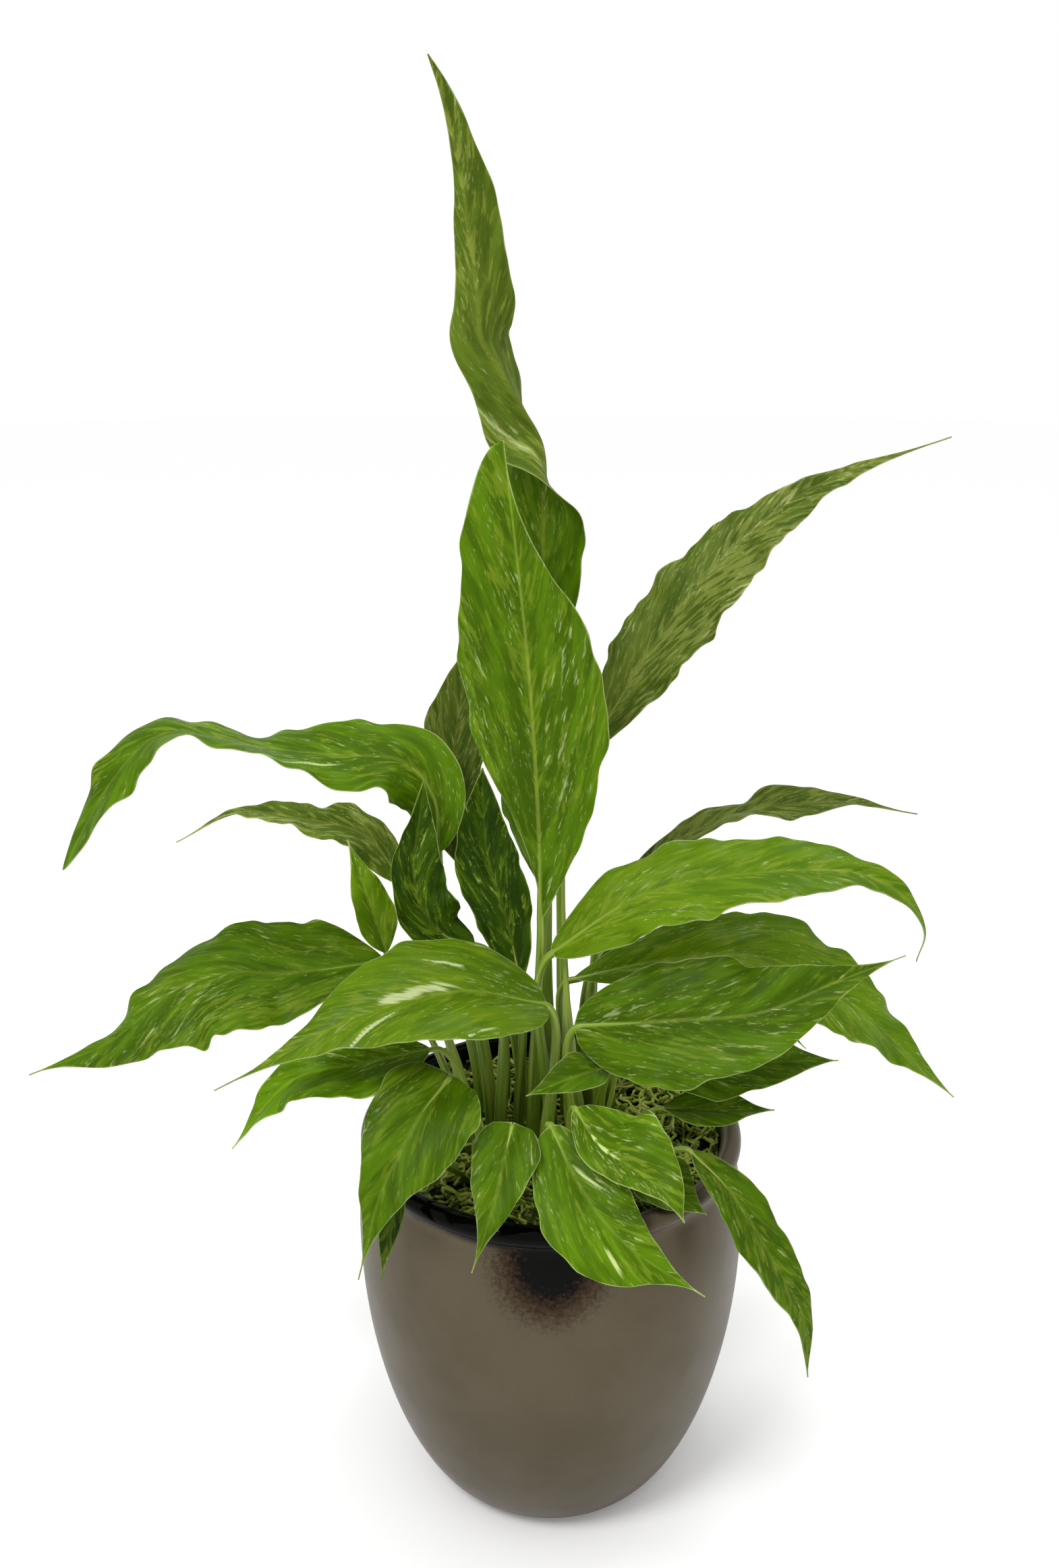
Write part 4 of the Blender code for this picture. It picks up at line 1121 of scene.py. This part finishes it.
@dataclass
class Foliage:
    """What the leaves share: their skins, and the heights that they grow from.

    Attributes:
        rim: The pot rim's height in mm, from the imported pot.
        bed: The moss top's height in mm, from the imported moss.
        upper: Each finish's upper skin.
        under: Each finish's under skin.
        stalk: The stalks' skin.
    """

    rim: float
    bed: float
    upper: dict[LeafFinish, bpy.types.Material] = field(default_factory=dict)
    under: dict[LeafFinish, bpy.types.Material] = field(default_factory=dict)
    stalk: bpy.types.Material | None = None

    def mix_skins(self) -> None:
        """Builds the leaf and stalk materials."""
        skins = {
            LeafFinish.GREEN: (
                LeafSkin("Peace lily blade, green", "#344d01", "#466504", "#64771a", "#a6b377", "#93a040"),
                LeafSkin("Peace lily underside, green", "#3b4c0e", "#4e6218", "#758130", "#9ea86d", "#909241",
                         roughness=0.6, gloss=0.05, rib_width=1.1),
            ),
            LeafFinish.BRIGHT: (
                LeafSkin("Peace lily blade, bright", "#446303", "#587607", "#73861f", "#b2bd86", "#9aa83f",
                         roughness=0.36, gloss=0.08),
                LeafSkin("Peace lily underside, bright", "#4a5f13", "#61721f", "#838c37", "#a7b277", "#989b47",
                         roughness=0.6, gloss=0.05, rib_width=1.1),
            ),
            LeafFinish.DARK: (
                LeafSkin("Peace lily blade, dark", "#162701", "#263b02", "#4a5f0d", "#818f48", "#626c26",
                         strength=0.6),
                LeafSkin("Peace lily underside, dark", "#253507", "#36490d", "#576421", "#818b55", "#717731",
                         roughness=0.6, gloss=0.05, rib_width=1.1),
            ),
            LeafFinish.GREY: (
                LeafSkin("Peace lily blade, grey green", "#394b0e", "#4e5f1b", "#727d35", "#9ea86d", "#929249",
                         marbling=0.48, flecking=0.6),
                LeafSkin("Peace lily underside, grey green", "#405118", "#566525", "#777e3b", "#9ea773", "#94924e",
                         roughness=0.6, gloss=0.05, rib_width=1.1),
            ),
        }
        for finish, (upper, under) in skins.items():
            self.upper[finish], self.under[finish] = upper.material(), under.material()
        self.stalk = StalkSkin("Peace lily petiole", "#6e8a22", "#98a548", "#3d500a").material()


@dataclass
class Leaf:
    """One leaf: its blade with two skins, and its stalk.

    Attributes:
        plan: How it grows.
        foliage: What it shares with the other leaves.
        seed: Sets its own waves and marks.
        thickness: The blade's thickness in mm.
        tip: Half the tip's width in mm.
        side_columns: Columns of faces each side of the midrib.
        slant: The sine of the angle between the side veins and the midrib.
        sweep_back: How many mm a side vein runs along the blade for each mm that it runs out.
        vein_bend: How much more it does so with each mm, as the vein bends towards the tip.
        rib_blaze: How near the midrib, as a share of the half-width, a blaze has to be to lie along it.
        quilting: How far the blade swells between veins, in mm.
        stalk_radius: A full stalk's radius in mm.
        stalk_sides: Facets round a stalk.
    """

    plan: LeafPlan
    foliage: Foliage
    seed: int
    thickness: float = 0.45
    tip: float = 0.22
    side_columns: int = 15
    slant: float = 0.41
    sweep_back: float = 2.2
    vein_bend: float = 0.02
    rib_blaze: float = 0.15
    quilting: float = 0.3
    stalk_radius: float = 2.1
    stalk_sides: int = 16

    def spine(self) -> np.ndarray:
        """Runs the midrib through its path.

        Returns:
            Its evenly spaced points in mm, about 1.4 mm apart.
        """
        points = np.array([(x, y, self.foliage.rim + z) for x, y, z in self.plan.path], float)
        length = np.linalg.norm(np.diff(points, axis=0), axis=1).sum()
        return smooth_run(points, int(np.clip(length / 1.4, 36, 132)))

    def frames(self) -> tuple[np.ndarray, np.ndarray, np.ndarray, np.ndarray]:
        """Sets out which way the blade lies.

        Returns:
            The midrib's points, and the directions along, above and beside the blade at each.
        """
        spine = self.spine()
        shares = np.linspace(0, 1, len(spine))
        looks = unit(np.array(self.plan.face, float))
        given = np.linspace(0, 1, len(looks))
        facing = np.stack([np.interp(shares, given, looks[:, axis]) for axis in range(3)], axis=1)
        facing = softened(facing, 0.05)
        along = unit(np.gradient(spine, axis=0))
        upper = unit(facing - (facing * along).sum(axis=1, keepdims=True) * along)
        return spine, along, upper, np.cross(along, upper)

    def half_widths(self, shares: np.ndarray, side: int) -> np.ndarray:
        """Draws one side's outline.

        Args:
            shares: Places along the blade, from the collar at 0 to the tip at 1.
            side: 0 for the left side and 1 for the right.

        Returns:
            The half-width in mm at each place.
        """
        plan, peak = self.plan, self.plan.peak[side]
        rise = np.sin(math.pi / 2 * np.clip(shares / peak, 0, 1)) ** plan.base[side]
        fall = np.clip(np.cos(math.pi / 2 * np.clip((shares - peak) / (1 - peak), 0, 1)), 0, 1) ** plan.taper[side]
        return np.maximum(plan.half[side] * np.where(shares < peak, rise, fall), self.tip)

    def section(self, outs: np.ndarray, shares: np.ndarray, curl: float) -> tuple[np.ndarray, np.ndarray]:
        """Draws half the blade's cross-sections, one unit wide.

        Args:
            outs: Places from the midrib at 0 to the margin at 1.
            shares: The sections' shares along the blade.
            curl: How far the margin turns up, in degrees.

        Returns:
            The sections' ways out and their lifts, a row for each section.
        """
        plan, fine = self.plan, np.linspace(0, 1, 61)
        fold = np.radians(np.interp(shares, np.linspace(0, 1, len(plan.fold)), plan.fold))[:, None]
        slope = softened(fold, 0.04) * smooth_step(fine, 0, 0.16)
        slope = slope + math.radians(plan.arch) * (0.35 - smooth_step(fine, 0.1, 0.9)) * smooth_step(fine, 0, 0.2)
        slope = slope + math.radians(curl) * smooth_step(fine, 0.55, 1.0)
        step = 1 / (len(fine) - 1)
        start = np.zeros((len(shares), 1))
        way = np.hstack([start, np.cumsum(np.cos(slope[:, :-1]), axis=1) * step])
        lift = np.hstack([start, np.cumsum(np.sin(slope[:, :-1]), axis=1) * step])
        return (np.stack([np.interp(outs, fine, row) for row in way]),
                np.stack([np.interp(outs, fine, row) for row in lift]))

    def waves(self, travel: np.ndarray, random: np.random.RandomState) -> np.ndarray:
        """Lays three waves over each other along one side.

        Args:
            travel: Places along the midrib in mm.
            random: Sets where each wave starts.

        Returns:
            The margin's rise and fall in mm at each place.
        """
        length, height = self.plan.wave_length, self.plan.wave
        total = np.zeros_like(travel)
        for ratio, share in ((1.0, 1.0), (1.83, 0.5), (3.1, 0.28)):
            total += share * np.sin(2 * math.pi * travel * ratio / length + random.uniform(0, 2 * math.pi))
        return total * height

    def grid(self) -> dict[str, np.ndarray]:
        """Lays out the blade's middle surface.

        Returns:
            The grid's points and normals, its directions, each point's flow and blade coordinates, its cream
            and its distance off the midrib.
        """
        plan, random = self.plan, np.random.RandomState(100 + self.seed)
        spine, along, upper, beside = self.frames()
        shares = np.linspace(0, 1, len(spine))
        travel = np.append(0, np.cumsum(np.linalg.norm(np.diff(spine, axis=0), axis=1)))
        outs = np.linspace(0, 1, self.side_columns + 1) ** 1.3
        envelope = smooth_step(shares, 0.02, 0.22) * (1 - smooth_step(shares, 0.8, 1.0))
        halves = []
        for side, sign in ((0, -1.0), (1, 1.0)):
            scallop = 1 + 0.035 * self.waves(travel * 1.4, random) / max(plan.wave, 0.01) * envelope
            half = self.half_widths(shares, side) * scallop
            way, lift = self.section(outs, shares, plan.curl[side])
            ripple = self.waves(travel, random) * envelope * np.minimum(1, half / 9)
            off = half[:, None] * outs[None, :]
            station = self.slant * (travel[:, None] - (self.sweep_back * off + self.vein_bend * off**2))
            swell = self.quilting * (np.abs(np.sin(math.pi * station / VEIN_GAP)) ** 0.7 - 0.5)
            swell *= smooth_step(off, 0.4, 4) * (1 - smooth_step(outs, 0.75, 1.0))[None, :]
            groove = -0.35 * np.exp(-(off**2)) * (1 - shares[:, None])
            rise = half[:, None] * lift + ripple[:, None] * outs[None, :] ** 2.2 + swell + groove
            back = plan.shoulder * np.clip(1 - shares / 0.16, 0, 1)[:, None] ** 1.5 * outs[None, :] ** 0.8
            points = (spine[:, None, :] + beside[:, None, :] * (sign * half[:, None] * way)[..., None]
                      + upper[:, None, :] * rise[..., None] - along[:, None, :] * back[..., None])
            cream = np.zeros_like(off)
            for blaze in plan.blazes:
                across = sign * outs[None, :]
                mid_off = abs(blaze.across) * np.interp(blaze.share, shares, half)
                swept = self.sweep_back * mid_off + self.vein_bend * mid_off**2
                mid_station = self.slant * (blaze.share * travel[-1] - swept)
                far = ((station - mid_station) / blaze.wide) ** 2
                far = far + ((sign * off - math.copysign(mid_off, blaze.across)) / self.slant / blaze.long) ** 2
                if abs(blaze.across) < self.rib_blaze:
                    far = ((travel[:, None] - blaze.share * travel[-1]) / blaze.long) ** 2
                    far = far + ((sign * off - blaze.across * half[:, None]) / blaze.wide) ** 2
                cream = np.maximum(cream, blaze.strength * np.exp(-far) * (np.abs(across) <= 1))
            halves.append({
                "points": points,
                "flow": np.stack([station + 91.0 * self.seed, sign * off / self.slant,
                                  np.full_like(off, 1.7 * self.seed)], axis=2),
                "blade": np.stack([sign * off, np.broadcast_to(shares[:, None], off.shape),
                                   half[:, None] * (1 - outs[None, :])], axis=2),
                "cream": cream,
                "off": off,
                "out": np.broadcast_to(outs, off.shape),
            })
        left, right = halves
        joined = {key: np.concatenate([left[key][:, :0:-1], right[key]], axis=1) for key in left}
        across = np.gradient(joined["points"], axis=1)
        forward = np.gradient(joined["points"], axis=0)
        normals = unit(np.cross(across, forward))
        flip = np.where((normals * upper[:, None, :]).sum(axis=2) < 0, -1.0, 1.0)
        joined["normals"] = unit(normals * flip[..., None] + 0.15 * upper[:, None, :])
        joined["spine"], joined["upper"], joined["along"] = spine, upper, along
        return joined

    def build_blade(self) -> bpy.types.Object:
        """Makes the blade as two skins closed all round by its margin.

        Returns:
            The blade.
        """
        plan, grid = self.plan, self.grid()
        rows, columns = grid["off"].shape
        share = np.linspace(0, 1, rows)[:, None]
        rib = 0.75 * (1 - share) ** 0.8 * np.exp(-((grid["off"] / 0.9) ** 2))
        rib = rib * smooth_step(share, 0.0, 0.04)
        half_thick = self.thickness / 2 * (1 - 0.5 * grid["out"] ** 6)
        top = grid["points"] + grid["normals"] * half_thick[..., None]
        low = grid["points"] - grid["normals"] * (half_thick + rib)[..., None]
        points = np.vstack([top.reshape(-1, 3), low.reshape(-1, 3)])
        index = np.arange(rows * columns).reshape(rows, columns)
        corners = (index[:-1, :-1], index[:-1, 1:], index[1:, 1:], index[1:, :-1])
        upper_faces = np.stack(corners, axis=2).reshape(-1, 4)
        sample = points[upper_faces[len(upper_faces) // 2]]
        facing = np.cross(sample[1] - sample[0], sample[2] - sample[1])
        middle = grid["normals"][rows // 2, columns // 2]
        if float(np.dot(facing, middle)) < 0:
            upper_faces = upper_faces[:, ::-1]
        lower_faces = upper_faces[:, ::-1] + rows * columns
        border = np.concatenate([index[0, :-1], index[:-1, -1], index[-1, :0:-1], index[:0:-1, 0]])
        nxt = np.roll(border, -1)
        strip = np.stack([border, border + rows * columns, nxt + rows * columns, nxt], axis=1)
        strip = self.outward_strip(strip, upper_faces)
        piece = mesh_object("foliage_blade_" + plan.name, points, np.vstack([upper_faces, lower_faces, strip]))
        mesh = piece.data
        mesh.materials.append(self.foliage.upper[plan.finish])
        mesh.materials.append(self.foliage.under[plan.finish])
        slots = np.zeros(len(mesh.polygons), np.int32)
        slots[len(upper_faces) : 2 * len(upper_faces)] = 1
        mesh.polygons.foreach_set("material_index", slots)
        self.crease(mesh, border, rows * columns)
        for name in ("flow", "blade", "cream"):
            values = grid[name].reshape(-1, 3) if grid[name].ndim == 3 else grid[name].ravel()
            paint(piece, name, np.concatenate([values, values]))
        # Each leaf's lightness, partly painted light.
        paint(piece, "tone", np.full(2 * rows * columns, plan.tone))
        paint(piece, "rib", np.full(2 * rows * columns, plan.rib))
        settle(piece, ("blade_" + plan.name,))
        return piece

    @staticmethod
    def outward_strip(strip: np.ndarray, upper_faces: np.ndarray) -> np.ndarray:
        """Turns the margin's faces the way that its neighbours on the upper skin face.

        Args:
            strip: The margin's faces as point numbers.
            upper_faces: The upper skin's faces.

        Returns:
            The margin's faces, turned where they have to be.
        """
        first = strip[0, [0, 3]]
        for face in upper_faces:
            pairs = set(zip(face.tolist(), np.roll(face, -1).tolist()))
            if (int(first[0]), int(first[1])) in pairs:
                return strip
            if (int(first[1]), int(first[0])) in pairs:
                return strip[:, ::-1]
        return strip

    @staticmethod
    def crease(mesh: bpy.types.Mesh, border: np.ndarray, skin: int) -> None:
        """Marks the margin's two edges sharp, so that the skins shade apart.

        Args:
            mesh: The blade.
            border: The upper skin's border points.
            skin: How many points a skin has.
        """
        on_border = np.zeros(2 * skin, bool)
        on_border[border] = on_border[border + skin] = True
        ends = np.empty(2 * len(mesh.edges), np.int32)
        mesh.edges.foreach_get("vertices", ends)
        ends = ends.reshape(-1, 2)
        sharp = on_border[ends].all(axis=1) & ((ends[:, 0] < skin) == (ends[:, 1] < skin))
        attribute = mesh.attributes.new("sharp_edge", "BOOLEAN", "EDGE")
        attribute.data.foreach_set("value", sharp)

    def stalk_line(self) -> tuple[np.ndarray, np.ndarray, np.ndarray]:
        """Runs the stalk from down in the moss to the collar and on under the blade as its rib.

        Returns:
            The line's points in mm, its radius at each, and how much each is sheath.
        """
        plan, foliage = self.plan, self.foliage
        spine, along, upper, _ = self.frames()
        foot = np.array((*plan.foot, foliage.bed - 4.0))
        collar = spine[0]
        height = collar[2] - foot[2]
        handles = (foot, foot + np.array((0, 0, 0.45 * height)), collar - along[0] * 0.2 * height, collar)
        shares = np.linspace(0, 1, 44)[:, None]
        a, b, c, d = handles
        line = (a * (1 - shares) ** 3 + 3 * b * shares * (1 - shares) ** 2 + 3 * c * shares**2 * (1 - shares)
                + d * shares**3)
        slim, share_of_girth = (0.5, 0.55) if plan.one_piece else (0.62, 1.0)
        girth = self.stalk_radius * plan.stalk * share_of_girth
        radius = girth * (1 + (slim - 1) * shares[:, 0])
        sheath = 1 - smooth_step(shares[:, 0], 0.3, 0.5)
        end = max(3, int(0.2 * len(spine)))
        tail = spine[1:end]
        fade = np.linspace(1, 0.25, len(tail))
        tail_radius = radius[-1] * fade
        drop = smooth_step(shares[:, 0], 0.9, 1.0) * radius[-1] * 0.75
        line = line - upper[0] * drop[:, None]
        tail = tail - upper[1:end] * (tail_radius * 0.75 + 0.1)[:, None]
        return (np.vstack([line, tail]), np.append(radius, tail_radius), np.append(sheath, np.zeros(len(tail))))

    def build_stalk(self) -> bpy.types.Object:
        """Makes the stalk: grooved on its inner side, and winged by its sheath lower down.

        Returns:
            The stalk.
        """
        plan = self.plan
        line, radius, sheath = self.stalk_line()
        outward = np.array((*plan.foot, 0.0)) + np.array((0.01, 0.0, 0.0))
        angles = np.linspace(0, 2 * math.pi, self.stalk_sides, endpoint=False)

        def shape(row: int) -> np.ndarray:
            """Shapes the section; the groove faces the crown, and wings stand beside it.

            Args:
                row: The section's number along the stalk.

            Returns:
                Its reach in mm at each angle.
            """
            inner_side = np.clip(-np.cos(angles), 0, 1) ** 6
            wings = np.exp(-(((angles - 0.72 * math.pi + math.pi) % (2 * math.pi) - math.pi) / 0.35) ** 2)
            wings = wings + np.exp(-(((angles + 0.72 * math.pi + math.pi) % (2 * math.pi) - math.pi) / 0.35) ** 2)
            return radius[row] * (1 - 0.18 * inner_side + sheath[row] * (0.5 * wings + 0.12))

        piece = sweep("foliage_stalk_" + plan.name, line, outward, shape, angles, self.seed)
        piece.data.materials.append(self.foliage.stalk)
        settle(piece, () if plan.one_piece else ("stalk_" + plan.name,))
        return piece


def sweep(
    name: str,
    line: np.ndarray,
    outward: np.ndarray,
    shape: Callable[[int], np.ndarray],
    angles: np.ndarray,
    seed: int,
) -> bpy.types.Object:
    """Sweeps a section along a line without twisting it, and closes both ends.

    Args:
        name: The piece's name.
        line: The line's points in mm.
        outward: The direction that the section's first point starts towards.
        shape: Gives the section's reach at each angle, for a row of the line.
        angles: The section's angles.
        seed: Shifts the piece's stripes.

    Returns:
        The closed piece, with its run attribute painted.
    """
    along = unit(np.gradient(line, axis=0))
    travel = np.append(0, np.cumsum(np.linalg.norm(np.diff(line, axis=0), axis=1)))
    towards = unit(outward)
    points, run = [], []
    for row, (place, way) in enumerate(zip(line, along)):
        towards = unit(towards - np.dot(towards, way) * way)
        side = np.cross(way, towards)
        reach = shape(row)
        for angle, size in zip(angles, reach):
            points.append(place + (towards * math.cos(angle) + side * math.sin(angle)) * size)
            run.append((travel[row], angle / (2 * math.pi), 3.3 * seed))
    sides, rows = len(angles), len(line)
    faces: list[tuple[int, ...]] = []
    for row in range(rows - 1):
        for k in range(sides):
            nxt = (k + 1) % sides
            faces.append((row * sides + k, row * sides + nxt, (row + 1) * sides + nxt, (row + 1) * sides + k))
    foot, top = rows * sides, rows * sides + 1
    points += [line[0], line[-1]]
    run += [(0.0, 0.5, 3.3 * seed), (travel[-1], 0.5, 3.3 * seed)]
    for k in range(sides):
        nxt = (k + 1) % sides
        faces.append((foot, nxt, k))
        faces.append((top, (rows - 1) * sides + k, (rows - 1) * sides + nxt))
    piece = mesh_object(name, np.array(points), faces)
    paint(piece, "run", np.array(run))
    return piece


@dataclass
class Spear:
    """The newest leaf, still rolled up: a pointed roll whose outer edge winds round it.

    Attributes:
        foot: Where it stands, x and y in mm.
        tip: Its tip as (x, y, height above the rim) in mm.
        radius: The roll's radius in mm.
        winding: How many times its edge winds round it on the way up.
        seed: Shifts its stripes from the other stalks'.
    """

    foot: tuple[float, float] = (8, -9)
    tip: Place = (4, -7, 72)
    radius: float = 2.8
    winding: float = 1.2
    seed: int = 77

    def build(self, foliage: Foliage) -> bpy.types.Object:
        """Makes the roll.

        Args:
            foliage: What the plant's pieces share.

        Returns:
            The spear.
        """
        foot = np.array((*self.foot, foliage.bed - 3.0))
        tip = np.array((self.tip[0], self.tip[1], foliage.rim + self.tip[2]))
        shares = np.linspace(0, 1, 90)[:, None]
        line = foot * (1 - shares) + tip * shares
        line[:, :2] = foot[:2] + (tip - foot)[:2] * (shares**1.6)
        angles = np.linspace(0, 2 * math.pi, 30, endpoint=False)

        def shape(row: int) -> np.ndarray:
            """Shapes the roll's section; it steps down where its outer edge lies.

            Args:
                row: The section's number along the roll.

            Returns:
                Its reach in mm at each angle.
            """
            share = row / (len(line) - 1)
            girth = self.radius * (0.75 + 0.35 * math.sin(math.pi * min(1, share * 1.15))) * (1 - share**3 * 0.9)
            turned = (angles - 2 * math.pi * self.winding * share) % (2 * math.pi)
            return girth * (0.84 + 0.2 * turned / (2 * math.pi))

        piece = sweep("foliage_spear", line, np.array((1.0, 0, 0)), shape, angles, self.seed)
        piece.data.materials.append(foliage.stalk)
        settle(piece, ("new_leaf_spear",))
        return piece


# The studio


@dataclass(frozen=True)
class SoftLight:
    """One large soft lamp.

    Attributes:
        name: The lamp's name.
        place: Where it hangs, in mm.
        aim: What it points at, in mm.
        size: Its width in mm.
        power: Its power in watts.
        colour: Its colour.
    """

    name: str
    place: Place
    aim: Place
    size: float
    power: float
    colour: str = "#ffffff"

    def hang(self) -> None:
        """Makes the lamp and turns it to its aim."""
        data = bpy.data.lights.new(self.name, "AREA")
        data.shape = "DISK"
        data.size = self.size * MM
        data.energy = self.power
        data.color = linear_colour(self.colour)[:3]
        lamp = bpy.data.objects.new(self.name, data)
        lamp.location = Vector(self.place) * MM
        lamp.rotation_euler = (Vector(self.aim) - Vector(self.place)).to_track_quat("-Z", "Y").to_euler()
        bpy.context.scene.collection.objects.link(lamp)


@dataclass
class Studio:
    """A pale floor, soft lamps and the camera.

    Attributes:
        lamps: The soft lamps.
        sky: The surrounding light's colour.
        sky_strength: Its strength.
        floor_radius: The floor's radius in mm.
        eye: The camera's place in mm.
        tilt: How far it looks down, in degrees.
        lens: Its lens in mm, for a film 36 mm tall.
    """

    lamps: tuple[SoftLight, ...] = (
        SoftLight("Key", (-380, -560, 1000), (0, 0, 220), 300, 5.0),
        SoftLight("Top", (160, 60, 1150), (0, 0, 250), 300, 3.0),
    )
    sky: str = "#ffffff"
    sky_strength: float = 1.0
    floor_radius: float = 6000
    eye: Place = (-7.8, -456.5, 427.0)
    tilt: float = 18.4
    lens: float = 32.4

    def lay_floor(self) -> None:
        """Makes the plain pale floor, a hair under the pot."""
        count = 96
        turns = np.linspace(0, 2 * math.pi, count, endpoint=False)
        points = np.stack([np.cos(turns) * self.floor_radius, np.sin(turns) * self.floor_radius,
                           np.full(count, -0.05)], axis=1)
        floor = mesh_object("studio_floor", points, [tuple(range(count))])
        material, tree, shader = new_material("Seamless paper, white")
        place = add_node(tree, "ShaderNodeTexCoord").outputs["Object"]
        tooth = add_node(tree, "ShaderNodeTexNoise", {}, {"Vector": place, "Scale": 1 / (1.5 * MM), "Detail": 2.0})
        tint = add_node(tree, "ShaderNodeMix", {"data_type": "RGBA"},
                        {0: tooth.outputs[0], 6: linear_colour("#fdfdfd"), 7: linear_colour("#ffffff")})
        tree.links.new(tint.outputs[2], shader.inputs["Base Color"])
        shader.inputs["Roughness"].default_value = 0.95
        shader.inputs["Specular IOR Level"].default_value = 0.1
        floor.data.materials.append(material)
        floor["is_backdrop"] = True

    def light(self) -> None:
        """Hangs the lamps and sets the surrounding light."""
        for lamp in self.lamps:
            lamp.hang()
        world = bpy.data.worlds.new("Studio")
        world.use_nodes = True
        background = world.node_tree.nodes["Background"]
        background.inputs["Color"].default_value = linear_colour(self.sky)
        background.inputs["Strength"].default_value = self.sky_strength
        bpy.context.scene.world = world

    def set_camera(self) -> None:
        """Sets the camera up in front of the plant and a little above it."""
        data = bpy.data.cameras.new("Camera")
        data.sensor_width = 36
        data.lens = self.lens
        data.clip_start, data.clip_end = 0.01, 50
        camera = bpy.data.objects.new("Camera", data)
        camera.location = Vector(self.eye) * MM
        camera.rotation_euler = (math.radians(90 - self.tilt), 0, 0)
        bpy.context.scene.collection.objects.link(camera)
        bpy.context.scene.camera = camera
        bpy.context.scene.view_settings.view_transform = "Standard"

    def build(self) -> None:
        """Builds the whole studio."""
        self.lay_floor()
        self.light()
        self.set_camera()


def dress_soil(frame: dict) -> None:
    """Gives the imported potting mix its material.

    Args:
        frame: The loaded frame.
    """
    soil = frame["nodes"]["soil"]
    mix = DampMix("Moist peat mix", "#0c0906", "#2b2016", 3.5).material()
    for place in soil.material_slots:
        place.material = mix
    LOG.info("soil: dressed")


def main(frame: dict, packed: tuple[Vector, Vector]) -> None:
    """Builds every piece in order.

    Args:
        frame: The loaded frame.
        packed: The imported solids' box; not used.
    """
    Studio().build()
    _, pot_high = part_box("pot")
    moss_low, moss_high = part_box("moss")
    rim, radius = pot_high[2] / MM, pot_high[0] / MM
    PotBody(height=rim, radius=radius).build()
    dress_soil(frame)
    bed = MossBed(top=moss_high[2] / MM, bottom=moss_low[2] / MM, radius=moss_high[0] / MM)
    bed.build_mat()
    bed.build_strands()
    foliage = Foliage(rim=rim, bed=moss_high[2] / MM)
    foliage.mix_skins()
    for seed, plan in enumerate(LEAVES):
        leaf = Leaf(plan, foliage, seed)
        leaf.build_blade()
        leaf.build_stalk()
    Spear().build(foliage)


if __name__ == "__main__":
    logging.basicConfig(level=logging.INFO, format="%(message)s")
    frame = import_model()
    main(frame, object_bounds())
